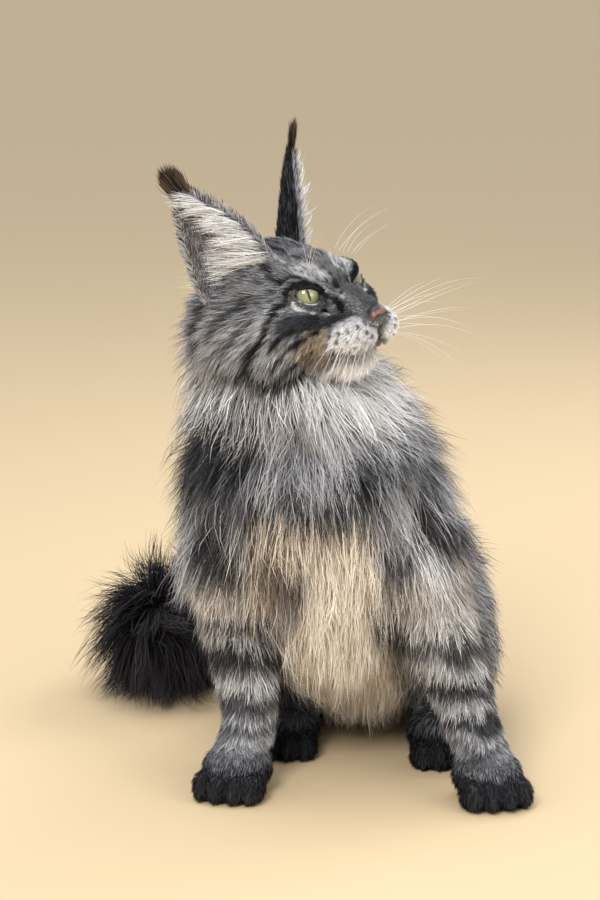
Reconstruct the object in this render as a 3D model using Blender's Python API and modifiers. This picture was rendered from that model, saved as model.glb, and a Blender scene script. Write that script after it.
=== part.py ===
"""A seated Maine Coon cat, life size, as separate named solids.

The cat sits with its chest towards -Y and its head turned to its own left (+X).
Flesh is modelled from overlapping ellipsoid beads that a voxel remesh fuses.
The long coat is a core at less than half its depth, with flat tapered locks that
are traced over it and over whatever lies below them, out to the tips.
Every solid is placed in one pose frame and then moved so that the origin is the
middle of the cat's footprint on the floor.
"""

import math
import random
from collections import namedtuple

import bmesh
import bpy
import numpy as np
from mathutils import Matrix, Vector
from mathutils.bvhtree import BVHTree

# Driving dimensions, in metres
GAP = 0.0003
FLOOR_SINK = 0.004
CORE_SHARE = 0.45

# Coat depth over the skin of each part, out to the tips
COAT = {
    "head": 0.006,
    "neck": 0.032,
    "torso": 0.028,
    "tail": 0.050,
    "leg_front": 0.008,
    "leg_hind": 0.010,
    "paw": 0.004,
}

# Pose of the head: it turns to the cat's left, looks a little up and leans over
HEAD_AT = Vector((-0.012, 0.0, 0.3215))
HEAD_YAW = math.radians(50.0)
HEAD_PITCH = math.radians(5.5)
HEAD_ROLL = math.radians(9.0)

# Skin stations: (x, y, z), then the radii along x, y and z
NECK_LINE = [
    ((-0.020, 0.014, 0.292), (0.036, 0.038, 0.030)),
    ((-0.010, 0.018, 0.266), (0.044, 0.046, 0.030)),
    ((0.000, 0.022, 0.236), (0.054, 0.054, 0.034)),
]
CHEST_LINE = [
    ((0.002, 0.014, 0.206), (0.062, 0.052, 0.034)),
    ((0.012, 0.012, 0.180), (0.062, 0.060, 0.050)),
    ((0.022, 0.024, 0.142), (0.060, 0.060, 0.046)),
    ((0.036, 0.070, 0.108), (0.062, 0.062, 0.052)),
    ((0.046, 0.118, 0.086), (0.066, 0.062, 0.060)),
    ((0.050, 0.160, 0.066), (0.060, 0.048, 0.052)),
]
BACK_LINE = [
    ((0.006, 0.050, 0.216), (0.044, 0.036, 0.032)),
    ((0.022, 0.086, 0.190), (0.048, 0.042, 0.046)),
    ((0.038, 0.128, 0.146), (0.052, 0.044, 0.048)),
    ((0.048, 0.164, 0.100), (0.052, 0.042, 0.048)),
    ((0.050, 0.182, 0.058), (0.046, 0.034, 0.042)),
]
TAIL_LINE = [
    ((0.050, 0.188, 0.044), (0.018, 0.018, 0.018)),
    ((0.026, 0.232, 0.038), (0.016, 0.016, 0.016)),
    ((-0.028, 0.246, 0.038), (0.015, 0.015, 0.015)),
    ((-0.080, 0.230, 0.048), (0.014, 0.014, 0.014)),
    ((-0.110, 0.194, 0.058), (0.012, 0.012, 0.012)),
    ((-0.106, 0.162, 0.058), (0.010, 0.010, 0.010)),
    ((-0.090, 0.150, 0.050), (0.006, 0.006, 0.006)),
]
TAIL_CUT_AT = Vector((-0.050, 0.242, 0.038))
TAIL_CUT_WAY = Vector((0.96, 0.28, 0.0))
SHOULDERS = [
    [
        ((-0.034, 0.006, 0.196), (0.026, 0.034, 0.034)),
        ((-0.040, 0.002, 0.160), (0.024, 0.030, 0.026)),
    ],
    [
        ((0.054, 0.006, 0.196), (0.026, 0.034, 0.034)),
        ((0.068, 0.002, 0.162), (0.024, 0.030, 0.026)),
    ],
]
FRONT_LEGS = {
    "leg_front_right": [
        ((-0.040, 0.000, 0.150), (0.026, 0.032, 0.030)),
        ((-0.040, 0.004, 0.118), (0.023, 0.027, 0.024)),
        ((-0.037, -0.018, 0.080), (0.0175, 0.018, 0.020)),
        ((-0.034, -0.034, 0.044), (0.0155, 0.016, 0.018)),
    ],
    "leg_front_left": [
        ((0.070, 0.000, 0.152), (0.027, 0.032, 0.030)),
        ((0.083, 0.000, 0.120), (0.023, 0.027, 0.024)),
        ((0.102, -0.026, 0.080), (0.0175, 0.018, 0.020)),
        ((0.115, -0.046, 0.044), (0.0155, 0.016, 0.018)),
    ],
}
HIND_LEGS = {
    "leg_hind_right": [
        ((-0.004, 0.128, 0.078), (0.026, 0.054, 0.050)),
        ((-0.012, 0.106, 0.060), (0.026, 0.050, 0.044)),
        ((-0.016, 0.070, 0.044), (0.022, 0.032, 0.032)),
    ],
    "leg_hind_left": [
        ((0.098, 0.124, 0.078), (0.026, 0.054, 0.050)),
        ((0.104, 0.102, 0.060), (0.026, 0.050, 0.044)),
        ((0.104, 0.064, 0.044), (0.022, 0.032, 0.032)),
    ],
}
# Hind feet lie flat, from the hock to just behind the toes
HIND_FEET = {
    "leg_hind_right": [((-0.024, 0.150, 0.018), 0.014), ((-0.018, 0.092, 0.016), 0.013)],
    "leg_hind_left": [((0.114, 0.146, 0.018), 0.014), ((0.106, 0.076, 0.016), 0.013)],
}
# Paws: the middle of the sole, and the heading of the toes in degrees from -Y to +X
PAWS = {
    "leg_front_right": ((-0.042, -0.050), -16.0),
    "leg_front_left": ((0.124, -0.064), 14.0),
    "leg_hind_right": ((-0.010, 0.042), -8.0),
    "leg_hind_left": ((0.098, 0.022), 6.0),
}
PAW_HALF = Vector((0.0215, 0.024, 0.0165))
TOE_RADIUS = 0.0095
TOES = (-0.0165, -0.006, 0.006, 0.0165)

# Head, in its own frame: x runs to the nose, y to the cat's left and z up
HEAD_BEADS = [
    ((-0.004, 0.000, 0.004), (0.044, 0.038, 0.036)),
    ((0.022, 0.000, 0.013), (0.026, 0.028, 0.021)),
    ((0.040, 0.000, 0.010), (0.016, 0.015, 0.014)),
    ((0.056, 0.000, 0.001), (0.014, 0.0115, 0.011)),
    ((0.068, 0.000, -0.004), (0.011, 0.0095, 0.009)),
    ((0.078, 0.000, -0.0095), (0.0065, 0.0085, 0.006)),
    ((0.053, 0.000, -0.033), (0.015, 0.013, 0.0105)),
    ((0.036, 0.000, -0.030), (0.024, 0.022, 0.012)),
]
HEAD_PAIRS = [
    ((0.063, 0.0105, -0.0195), (0.0165, 0.0135, 0.0120)),
    ((0.050, 0.0180, -0.0170), (0.0170, 0.0120, 0.0140)),
    ((0.026, 0.0280, -0.0090), (0.0260, 0.0170, 0.0200)),
    ((0.008, 0.0290, -0.0200), (0.0300, 0.0200, 0.0190)),
    ((-0.018, 0.0270, -0.0080), (0.0280, 0.0200, 0.0280)),
]
EYE_AT = Vector((0.0385, 0.0205, 0.0105))
EYE_RADIUS = 0.0108
EYE_OUTWARD = math.radians(27.0)
EYE_UPWARD = math.radians(6.0)
LID = 0.0022
LID_HALF_WIDTH = 0.0118
LID_HALF_HEIGHT = 0.0056
LID_SLANT = math.radians(20.0)
NOSTRIL_AT = Vector((0.0815, 0.0048, -0.0105))
NOSTRIL_HALF = Vector((0.0045, 0.0018, 0.0014))
MOUTH_GROOVE = 0.0011
MOUTH_LINE = [
    (0.0800, 0.0000, -0.0160),
    (0.0780, 0.0000, -0.0230),
    (0.0745, 0.0060, -0.0290),
    (0.0660, 0.0150, -0.0310),
    (0.0550, 0.0220, -0.0290),
    (0.0430, 0.0270, -0.0240),
]

# The cut between head and neck runs from the nape to the throat, in the head's frame
NECK_CUT_AT = Vector((-0.046, 0.0, 0.000))
NECK_CUT_UP = Vector((0.57, 0.0, 0.82))

# Ears, for the cat's left; the right one is mirrored
EAR_BASE = Vector((-0.006, 0.033, 0.026))
EAR_TIP = Vector((-0.018, 0.056, 0.088))
EAR_FACING = Vector((0.64, 0.74, 0.16))
EAR_HALF_WIDTH = 0.024
EAR_DEPTH = 0.016
EAR_WALL = 0.0026
EAR_COLUMNS = 6
EAR_ROWS = 6

# The cut between neck and torso, in the pose frame
TORSO_CUT_AT = Vector((0.0, 0.030, 0.235))
TORSO_CUT_UP = Vector((0.0, -0.30, 0.95))

# Locks: sizes in metres, rise of the tip over the coat below, spacing of the roots,
# and droop as the share of each step that turns straight down
DOWN = Vector((0.0, 0.0, -1.0))
ROOT_DEPTH = 0.003
LOCK_CLEARANCE = 0.0012
LOCK_FLOOR = 0.0035
LOCK_STEPS = 8
DRESS_ATTEMPTS = 8
WELD = 0.0000015
LOCK_RINGS = 3
TIP_THICKNESS = 0.0012
Lock = namedtuple("Lock", "length half_width thickness rise spacing droop")
LOCKS = {
    "chest": Lock(0.064, 0.0125, 0.0050, 0.014, 0.0238, 0.22),
    "body": Lock(0.062, 0.0175, 0.0052, 0.014, 0.0360, 0.08),
    "ruff": Lock(0.056, 0.0125, 0.0048, 0.016, 0.0198, 0.12),
    "cheek": Lock(0.038, 0.0100, 0.0040, 0.012, 0.0200, 0.10),
    "plume": Lock(0.064, 0.0160, 0.0050, 0.022, 0.0295, 0.13),
    "thigh": Lock(0.046, 0.0150, 0.0048, 0.012, 0.0400, 0.08),
    "elbow": Lock(0.036, 0.0095, 0.0040, 0.009, 0.0285, 0.15),
}
LOCK_SPREAD = 0.20
LOCK_ROOM = 0.0006
HAIR_ROOM = 0.00002

# Tufts of each ear in the head's frame: root, tip and half width
TUFT_THICKNESS = 0.0030
EAR_TUFTS = [
    ((-0.016, 0.052, 0.078), (-0.015, 0.067, 0.110), 0.0036),
    ((-0.018, 0.051, 0.076), (-0.022, 0.058, 0.105), 0.0032),
    ((-0.014, 0.054, 0.074), (-0.008, 0.070, 0.100), 0.0030),
]

SKIN_COLOURS = {
    "grey": (0.16, 0.15, 0.145, 1.0),
    "black": (0.022, 0.023, 0.027, 1.0),
    "cream": (0.42, 0.36, 0.29, 1.0),
    "eye": (0.42, 0.44, 0.20, 1.0),
}


def clear_scene():
    for item in list(bpy.data.objects):
        bpy.data.objects.remove(item, do_unlink=True)


def new_collection(name):
    made = bpy.data.collections.new(name)
    bpy.context.scene.collection.children.link(made)
    return made


def material(name, roughness):
    made = bpy.data.materials.new(name)
    made.use_nodes = True
    shader = made.node_tree.nodes["Principled BSDF"]
    shader.inputs["Base Color"].default_value = SKIN_COLOURS[name]
    shader.inputs["Roughness"].default_value = roughness
    made.diffuse_color = SKIN_COLOURS[name]
    return made


def head_matrix():
    """From the head's own frame to the pose frame."""
    forward = Vector((
        math.sin(HEAD_YAW) * math.cos(HEAD_PITCH),
        -math.cos(HEAD_YAW) * math.cos(HEAD_PITCH),
        math.sin(HEAD_PITCH),
    ))
    level = Vector((math.cos(HEAD_YAW), math.sin(HEAD_YAW), 0.0))
    upright = forward.cross(level)
    left = level * math.cos(HEAD_ROLL) + upright * math.sin(HEAD_ROLL)
    up = forward.cross(left)
    turned = Matrix((forward, left, up)).transposed().to_4x4()
    return Matrix.Translation(HEAD_AT) @ turned


def add_bead(bm, centre, radii, frame=None):
    """An ellipsoid, a little coarser than the remesh that will take it in."""
    place = Matrix.Translation(centre) @ Matrix.Diagonal((*radii, 1.0))
    if frame is not None:
        place = frame @ place
    bmesh.ops.create_icosphere(bm, subdivisions=3, radius=1.0, matrix=place)


def smooth_between(stations, share):
    """A point on the smooth curve through the rows of an array, share from 0 to 1."""
    last = len(stations) - 1
    at = min(share * last, last - 1e-9)
    i = int(at)
    t = at - i
    p0, p1 = stations[max(i - 1, 0)], stations[i]
    p2, p3 = stations[i + 1], stations[min(i + 2, last)]
    return 0.5 * (
        2 * p1
        + (p2 - p0) * t
        + (2 * p0 - 5 * p1 + 4 * p2 - p3) * t * t
        + (3 * p1 - p0 - 3 * p2 + p3) * t * t * t
    )


def add_line(bm, line, coat, beads_between=4):
    """Beads along a line of stations, each coat deeper than the skin."""
    rows = np.array([(*centre, *radii) for centre, radii in line])
    count = (len(line) - 1) * beads_between
    for i in range(count + 1):
        row = smooth_between(rows, i / count)
        add_bead(bm, row[:3], row[3:] + coat)


def in_order(mesh):
    """The same mesh with points and faces in an order that only their places set."""
    points = np.empty(len(mesh.vertices) * 3, np.float32)
    mesh.vertices.foreach_get("co", points)
    points = points.reshape(-1, 3)
    order = np.lexsort(points.T)
    rank = np.empty(len(order), int)
    rank[order] = np.arange(len(order))
    faces = []
    for face in mesh.polygons:
        corners = [int(rank[i]) for i in face.vertices]
        first = corners.index(min(corners))
        faces.append(corners[first:] + corners[:first])
    ordered = bpy.data.meshes.new(mesh.name)
    ordered.from_pydata(points[order].tolist(), [], sorted(faces))
    for slot in mesh.materials:
        ordered.materials.append(slot)
    return ordered


def object_of(name, bm, collection, slot=None):
    mesh = bpy.data.meshes.new(name)
    bm.to_mesh(mesh)
    bm.free()
    made = bpy.data.objects.new(name, in_order(mesh))
    collection.objects.link(made)
    if slot is not None:
        made.data.materials.append(slot)
    return made


def settle(item):
    """Replaces an object's mesh by what its modifiers make of it."""
    bpy.context.view_layer.update()
    graph = bpy.context.evaluated_depsgraph_get()
    mesh = bpy.data.meshes.new_from_object(item.evaluated_get(graph))
    item.modifiers.clear()
    bm = bmesh.new()
    bm.from_mesh(mesh)
    bmesh.ops.triangulate(bm, faces=bm.faces)
    bm.to_mesh(mesh)
    bm.free()
    item.data = in_order(mesh)


def fuse(item, voxel, smoothing, triangles):
    """Melts an object's beads into one skin of about that many triangles."""
    remesh = item.modifiers.new("melt", "REMESH")
    remesh.mode = "VOXEL"
    remesh.voxel_size = voxel
    soften = item.modifiers.new("soften", "SMOOTH")
    soften.factor = 0.5
    soften.iterations = smoothing
    settle(item)
    thin = item.modifiers.new("thin", "DECIMATE")
    faces = sum(len(face.vertices) - 2 for face in item.data.polygons)
    thin.ratio = min(1.0, triangles / faces)
    settle(item)
    keep_largest(item)


def shells_of(bm):
    """The faces of each closed surface."""
    left = set(bm.faces)
    shells = []
    while left:
        reached = [left.pop()]
        shell = set(reached)
        while reached:
            for edge in reached.pop().edges:
                for face in edge.link_faces if len(edge.link_faces) == 2 else ():
                    if face in left:
                        left.remove(face)
                        shell.add(face)
                        reached.append(face)
        shells.append(shell)
    return shells


def keep_largest(item):
    """Welds near points, then drops every loose scrap and hollow but the largest closed surface."""
    bm = bmesh.new()
    bm.from_mesh(item.data)
    bmesh.ops.remove_doubles(bm, verts=bm.verts, dist=WELD)
    bmesh.ops.dissolve_degenerate(bm, edges=bm.edges, dist=WELD)
    bmesh.ops.triangulate(bm, faces=bm.faces)
    shells = shells_of(bm)
    best = max(shells, key=spread)
    loose = [face for shell in shells if shell is not best for face in shell]
    bmesh.ops.delete(bm, geom=loose, context="FACES")
    bm.to_mesh(item.data)
    bm.free()


def spread(shell):
    """The volume of the box round a shell's points."""
    places = np.array([vert.co for face in shell for vert in face.verts])
    return float(np.prod(np.ptp(places, axis=0)))


def combine(item, other, operation, solver="MANIFOLD"):
    change = item.modifiers.new("combine", "BOOLEAN")
    change.operation = operation
    change.object = other
    change.solver = solver
    settle(item)


def inflated(item, collection, by=GAP):
    """A helper copy of a solid, larger by the gap that neighbours keep."""
    copy = bpy.data.objects.new(item.name + "_room", item.data.copy())
    collection.objects.link(copy)
    swell = copy.modifiers.new("swell", "DISPLACE")
    swell.strength = by
    swell.mid_level = 0.0
    settle(copy)
    return copy


def make_room(item, neighbours, cutters):
    """Cuts a solid clear of its neighbours, so that they meet face to face."""
    for neighbour in neighbours:
        room = inflated(neighbour, cutters)
        combine(item, room, "DIFFERENCE")
        bpy.data.objects.remove(room, do_unlink=True)
    keep_largest(item)


def box_cutter(name, low, high, collection):
    bm = bmesh.new()
    centre = (Vector(low) + Vector(high)) / 2
    size = Vector(high) - Vector(low)
    place = Matrix.Translation(centre) @ Matrix.Diagonal((*size, 1.0))
    bmesh.ops.create_cube(bm, size=1.0, matrix=place)
    made = object_of(name, bm, collection)
    made.hide_render = True
    made.display_type = "WIRE"
    return made


def halve(item, point, normal):
    """Keeps what lies on the normal's side of a plane, less half of the gap."""
    bm = bmesh.new()
    bm.from_mesh(item.data)
    bmesh.ops.bisect_plane(
        bm,
        geom=[*bm.verts, *bm.edges, *bm.faces],
        dist=1e-6,
        plane_co=point + normal.normalized() * (GAP / 2),
        plane_no=normal,
        clear_inner=True,
    )
    rim = [edge for edge in bm.edges if edge.is_boundary]
    bmesh.ops.holes_fill(bm, edges=rim)
    bmesh.ops.triangulate(bm, faces=bm.faces)
    bm.to_mesh(item.data)
    bm.free()
    keep_largest(item)


def part_at_neck(head, neck):
    """Parts head and neck along one flat."""
    frame = head_matrix()
    point = frame @ NECK_CUT_AT
    up = frame.to_3x3() @ NECK_CUT_UP
    halve(head, point, up)
    halve(neck, point, -up)


def stand_flat(item, floor):
    """Cuts off what would sink into the floor, leaving a small flat."""
    combine(item, floor, "DIFFERENCE")
    keep_largest(item)


def obstacle_tree(items):
    """One search tree over the surfaces of several solids."""
    points = []
    faces = []
    for item in items:
        start = len(points)
        points += [vert.co.copy() for vert in item.data.vertices]
        faces += [[start + i for i in face.vertices] for face in item.data.polygons]
    return BVHTree.FromPolygons(points, faces)


def spread_roots(item, spacing, allowed, rng):
    """Evenly spread places on a solid, each with the surface's normal."""
    faces = [face for face in item.data.polygons if allowed(face.center, face.normal)]
    if not faces:
        return []
    areas = [face.area for face in faces]
    roots = []
    tries = int(40 * sum(areas) / spacing**2)
    for face in rng.choices(faces, areas, k=tries):
        a, b, c = (item.data.vertices[i].co for i in face.vertices[:3])
        u, v = rng.random(), rng.random()
        if u + v > 1.0:
            u, v = 1.0 - u, 1.0 - v
        place = a + (b - a) * u + (c - a) * v
        if all((place - other).length > spacing for other, _ in roots):
            roots.append((place, face.normal.copy()))
    return roots


def trace_lock(tree, root, normal, lie, size, scale, lowest):
    """Stations of a lock: it follows its lie over what is below it, rises and droops."""
    stride = size.length * scale / LOCK_STEPS
    way = (lie - normal * lie.dot(normal)).normalized()
    outward = normal.copy()
    stations = [(root - normal * ROOT_DEPTH, normal.copy())]
    place = root.copy()
    for step in range(1, LOCK_STEPS + 1):
        way = (way * (1.0 - size.droop) + DOWN * size.droop).normalized()
        ahead = place + way * stride
        near, facing, _, _ = tree.find_nearest(ahead)
        wanted = LOCK_CLEARANCE + size.rise * scale * (step / LOCK_STEPS) ** 1.2
        if (ahead - near).dot(facing) < wanted:
            ahead = near + facing * wanted
        outward = outward.lerp(facing, 0.4).normalized()
        if ahead.z < lowest:
            ahead.z = lowest
            outward = outward.lerp(-DOWN, 0.7).normalized()
        way = way.lerp((ahead - place).normalized(), 0.7).normalized()
        place = place + way * stride
        place.z = max(place.z, lowest)
        stations.append((place.copy(), outward.copy()))
    return stations


def blade(bm, stations, half, thick, rings=LOCK_RINGS):
    """A flat tapered lock along stations, ridged above and flat below, its tip drawn out."""
    loops = []
    for ring in range(rings):
        share = ring / rings
        at = share * (len(stations) - 1)
        i = int(at)
        place = stations[i][0].lerp(stations[i + 1][0], at - i)
        outward = stations[i][1]
        along = (stations[i + 1][0] - stations[max(i - 1, 0)][0]).normalized()
        across = along.cross(outward).normalized()
        up = across.cross(along).normalized()
        width = half * (0.62 + 0.38 * math.sin(math.pi * min(1.0, 0.15 + share * 1.2)))
        width *= (1.0 - share**2.2) ** 0.6
        depth = thick * (1.0 - share) + TIP_THICKNESS * share
        loops.append([
            bm.verts.new(place + across * width - up * depth * 0.4),
            bm.verts.new(place + up * depth * 0.6),
            bm.verts.new(place - across * width - up * depth * 0.4),
        ])
    tip = bm.verts.new(stations[-1][0])
    bm.faces.new(loops[0])
    for low, high in zip(loops, loops[1:]):
        for a, b in ((0, 1), (1, 2), (2, 0)):
            bm.faces.new((low[b], low[a], high[a]))
            bm.faces.new((low[b], high[a], high[b]))
    for a, b in ((0, 1), (1, 2), (2, 0)):
        bm.faces.new((loops[-1][b], loops[-1][a], tip))
    bmesh.ops.recalc_face_normals(bm, faces=bm.faces)


def grow_locks(item, name, below, collection, seed):
    """Locks of one kind, spread over a solid and traced over what lies below them."""
    rng = random.Random(seed)
    size = LOCKS[name]
    allowed, lie = WHERE_AND_HOW[name]
    tree = obstacle_tree([item, *below])
    made = []
    for root, normal in spread_roots(item, size.spacing, allowed, rng):
        scale = 1.0 + LOCK_SPREAD * rng.uniform(-1.0, 1.0)
        stray = Vector([rng.uniform(-1.0, 1.0) for _ in range(3)]) * LOCK_SPREAD
        way = lie(root, normal) + stray
        lowest = LOCK_FLOOR * rng.uniform(1.0, 3.0)
        stations = trace_lock(tree, root, normal, way, size, scale, lowest)
        bm = bmesh.new()
        blade(bm, stations, size.half_width * scale, size.thickness)
        made.append(object_of(name + "_lock", bm, collection))
    return made


def bundle(pieces, locks, cutters):
    """One union of the pieces in a collection, which are then removed."""
    first, *others = pieces
    locks.objects.unlink(first)
    cutters.objects.link(first)
    change = first.modifiers.new("join", "BOOLEAN")
    change.operation = "UNION"
    change.operand_type = "COLLECTION"
    change.collection = locks
    change.solver = "MANIFOLD"
    settle(first)
    for piece in others:
        bpy.data.objects.remove(piece, do_unlink=True)
    return first


def root_locks(item, pieces, neighbours, locks, cutters):
    """Fuses locks with each other, cuts them clear of what they pass, then roots them."""
    coat = bundle(pieces, locks, cutters)
    rooms = [inflated(near, cutters, by) for near in neighbours for by in (LOCK_ROOM, HAIR_ROOM)]
    under = (-0.6, -0.6, -0.4), (0.6, 0.6, LOCK_FLOOR / 3)
    rooms.append(box_cutter("under_floor", *under, cutters))
    for room in rooms:
        combine(coat, room, "DIFFERENCE")
        bpy.data.objects.remove(room, do_unlink=True)
    combine(item, coat, "UNION")
    bpy.data.objects.remove(coat, do_unlink=True)
    keep_largest(item)


def pinched(item):
    """Whether a solid touches itself along an edge."""
    bm = bmesh.new()
    bm.from_mesh(item.data)
    found = any(len(edge.link_faces) != 2 for edge in bm.edges)
    bm.free()
    return found


def dress(item, kinds, neighbours, locks, cutters, seed):
    """Grows locks on a solid, over again with other draws where two locks pinch it."""
    bare = item.data
    for attempt in range(DRESS_ATTEMPTS):
        item.data = bare.copy()
        pieces = []
        for index, name in enumerate(kinds):
            draw = seed + 10 * attempt + index
            pieces += grow_locks(item, name, neighbours, locks, draw)
        root_locks(item, pieces, neighbours, locks, cutters)
        if not pinched(item):
            break


def make_torso(cat, slot):
    bm = bmesh.new()
    coat = COAT["torso"] * CORE_SHARE
    add_line(bm, CHEST_LINE, coat)
    add_line(bm, BACK_LINE, coat * 0.8)
    for line in SHOULDERS:
        add_line(bm, line, coat)
    torso = object_of("torso", bm, cat, slot)
    fuse(torso, 0.006, 8, 500)
    return torso


def make_neck(cat, slot):
    bm = bmesh.new()
    add_line(bm, NECK_LINE, COAT["neck"] * CORE_SHARE)
    neck = object_of("neck", bm, cat, slot)
    fuse(neck, 0.005, 6, 280)
    return neck


def make_tail(cat, slot):
    """The tail's core, parted into a base and a tip half way round its bend."""
    bm = bmesh.new()
    add_line(bm, TAIL_LINE, COAT["tail"] * CORE_SHARE)
    base = object_of("tail_base", bm, cat, slot)
    fuse(base, 0.005, 8, 340)
    tip = bpy.data.objects.new("tail_tip", base.data.copy())
    cat.objects.link(tip)
    halve(base, TAIL_CUT_AT, TAIL_CUT_WAY)
    halve(tip, TAIL_CUT_AT, -TAIL_CUT_WAY)
    return base, tip


def paw_frame(name):
    (x, y), heading = PAWS[name]
    return Matrix.Translation((x, y, 0.0)) @ Matrix.Rotation(math.radians(heading), 4, "Z")


def add_paw(bm, name):
    """A rounded foot with four toes, its heading along its own -Y."""
    frame = paw_frame(name)
    coat = COAT["paw"]
    half = PAW_HALF + Vector((coat, coat, coat))
    add_bead(bm, (0.0, 0.002, half.z - FLOOR_SINK), half, frame)
    for along in TOES:
        forward = -PAW_HALF.y * (0.92 - 14.0 * abs(along) * 0.9)
        radius = TOE_RADIUS + coat * 0.5
        centre = (along, forward, radius - FLOOR_SINK * 0.6)
        add_bead(bm, centre, (radius * 0.78, radius * 1.25, radius), frame)


def add_foot(bm, name):
    """The flat hind foot from the hock to the paw, and up into the thigh."""
    (hock, hock_radius), (instep, instep_radius) = HIND_FEET[name]
    (x, y), _ = PAWS[name]
    coat = COAT["leg_hind"] * 0.6
    line = [
        (hock, (hock_radius,) * 3),
        (instep, (instep_radius,) * 3),
        ((x, y, instep[2]), (instep_radius,) * 3),
    ]
    add_line(bm, line, coat)


def make_leg(name, cat, slot):
    bm = bmesh.new()
    if name in FRONT_LEGS:
        line = FRONT_LEGS[name]
        (x, y), _ = PAWS[name]
        ankle = ((x, y + 0.006, 0.022), (0.0160, 0.0170, 0.0160))
        add_line(bm, [*line, ankle], COAT["leg_front"])
    else:
        add_line(bm, HIND_LEGS[name], COAT["leg_hind"])
        add_foot(bm, name)
    add_paw(bm, name)
    leg = object_of(name, bm, cat, slot)
    fuse(leg, 0.0032, 4, 420)
    return leg


def mirrored(point):
    return Vector((point[0], -point[1], point[2]))


def eye_axis(side):
    """The way an eye looks, in the head's frame; side is 1 on the cat's left."""
    return Vector((
        math.cos(EYE_OUTWARD) * math.cos(EYE_UPWARD),
        side * math.sin(EYE_OUTWARD) * math.cos(EYE_UPWARD),
        math.sin(EYE_UPWARD),
    ))


def eye_frame(side):
    """At the eye's centre: x along its look, y level and z up, slanted with the lids."""
    look = eye_axis(side)
    level = Vector((0.0, 0.0, 1.0)).cross(look).normalized()
    up = look.cross(level)
    centre = Vector((EYE_AT.x, side * EYE_AT.y, EYE_AT.z))
    turned = Matrix((look, level, up)).transposed().to_4x4()
    slant = Matrix.Rotation(side * LID_SLANT, 4, "X")
    return Matrix.Translation(centre) @ turned @ slant


def head_flesh(cat, slot):
    bm = bmesh.new()
    frame = head_matrix()
    coat = COAT["head"]
    for centre, radii in HEAD_BEADS:
        add_bead(bm, centre, np.array(radii) + coat * fur_share(centre), frame)
    for centre, radii in HEAD_PAIRS:
        grown = np.array(radii) + coat * fur_share(centre)
        add_bead(bm, centre, grown, frame)
        add_bead(bm, mirrored(centre), grown, frame)
    for side in (1, -1):
        add_bead(bm, (EYE_AT.x, side * EYE_AT.y, EYE_AT.z), (EYE_RADIUS + LID,) * 3, frame)
    head = object_of("head", bm, cat, slot)
    fuse(head, 0.0022, 3, 1400)
    return head


def fur_share(centre):
    """Fur is full depth at the back of the head and nearly bare at the nose."""
    return float(np.clip((0.085 - centre[0]) / 0.06, 0.12, 1.0))


def cut_eye_sockets(head, cutters):
    """Round rooms for the eyeballs, opened between the lids."""
    frame = head_matrix()
    for side in (1, -1):
        bm = bmesh.new()
        place = frame @ eye_frame(side)
        add_eyeball(bm, side, EYE_RADIUS + GAP)
        socket = object_of("socket", bm, cutters)
        bm = bmesh.new()
        slit = Matrix.Translation((EYE_RADIUS, 0.0, 0.0)) @ Matrix.Diagonal(
            (0.010, LID_HALF_WIDTH, LID_HALF_HEIGHT, 1.0)
        )
        bmesh.ops.create_uvsphere(bm, u_segments=12, v_segments=6, radius=1.0, matrix=place @ slit)
        opening = object_of("lid_opening", bm, cutters)
        for cutter in (socket, opening):
            combine(head, cutter, "DIFFERENCE")
            bpy.data.objects.remove(cutter, do_unlink=True)


def cut_nostrils(head, cutters):
    frame = head_matrix()
    for side in (1, -1):
        bm = bmesh.new()
        centre = Vector((NOSTRIL_AT.x, side * NOSTRIL_AT.y, NOSTRIL_AT.z))
        turn = Matrix.Rotation(side * math.radians(35.0), 4, "Z")
        place = frame @ Matrix.Translation(centre) @ turn @ Matrix.Diagonal((*NOSTRIL_HALF, 1.0))
        bmesh.ops.create_uvsphere(bm, u_segments=10, v_segments=6, radius=1.0, matrix=place)
        cutter = object_of("nostril", bm, cutters)
        combine(head, cutter, "DIFFERENCE")
        bpy.data.objects.remove(cutter, do_unlink=True)


def tube_mesh(name, points, radius, collection):
    """A closed tube along points, with its caps welded on."""
    curve = bpy.data.curves.new(name, "CURVE")
    curve.dimensions = "3D"
    curve.bevel_depth = radius
    curve.bevel_resolution = 0
    curve.use_fill_caps = True
    spline = curve.splines.new("POLY")
    spline.points.add(len(points) - 1)
    for point, place in zip(spline.points, points):
        point.co = (*place, 1.0)
    source = bpy.data.objects.new(name, curve)
    collection.objects.link(source)
    bpy.context.view_layer.update()
    graph = bpy.context.evaluated_depsgraph_get()
    mesh = bpy.data.meshes.new_from_object(source.evaluated_get(graph))
    bm = bmesh.new()
    bm.from_mesh(mesh)
    bmesh.ops.remove_doubles(bm, verts=bm.verts, dist=0.00001)
    bmesh.ops.recalc_face_normals(bm, faces=bm.faces)
    bm.to_mesh(mesh)
    bm.free()
    made = bpy.data.objects.new(name, mesh)
    collection.objects.link(made)
    made.matrix_world = source.matrix_world
    bpy.data.objects.remove(source, do_unlink=True)
    return made


def tree_of(item):
    bpy.context.view_layer.update()
    return BVHTree.FromObject(item, bpy.context.evaluated_depsgraph_get())


def cut_mouth(head, cutters):
    """A thin groove from under the nose, parting to each corner of the mouth."""
    frame = head_matrix()
    surface = tree_of(head)
    for side in (1, -1):
        stations = np.array([(x, side * y, z) for x, y, z in MOUTH_LINE])
        count = 2 * (len(stations) - 1)
        places = []
        for i in range(count + 1):
            aimed = frame @ Vector(smooth_between(stations, i / count))
            nearest, _, _, _ = surface.find_nearest(aimed)
            places.append(nearest)
        groove = tube_mesh("mouth_groove", places, MOUTH_GROOVE, cutters)
        combine(head, groove, "DIFFERENCE")
        bpy.data.objects.remove(groove, do_unlink=True)


def carve_face(head, cutters):
    cut_mouth(head, cutters)
    cut_nostrils(head, cutters)
    cut_eye_sockets(head, cutters)
    keep_largest(head)


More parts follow.
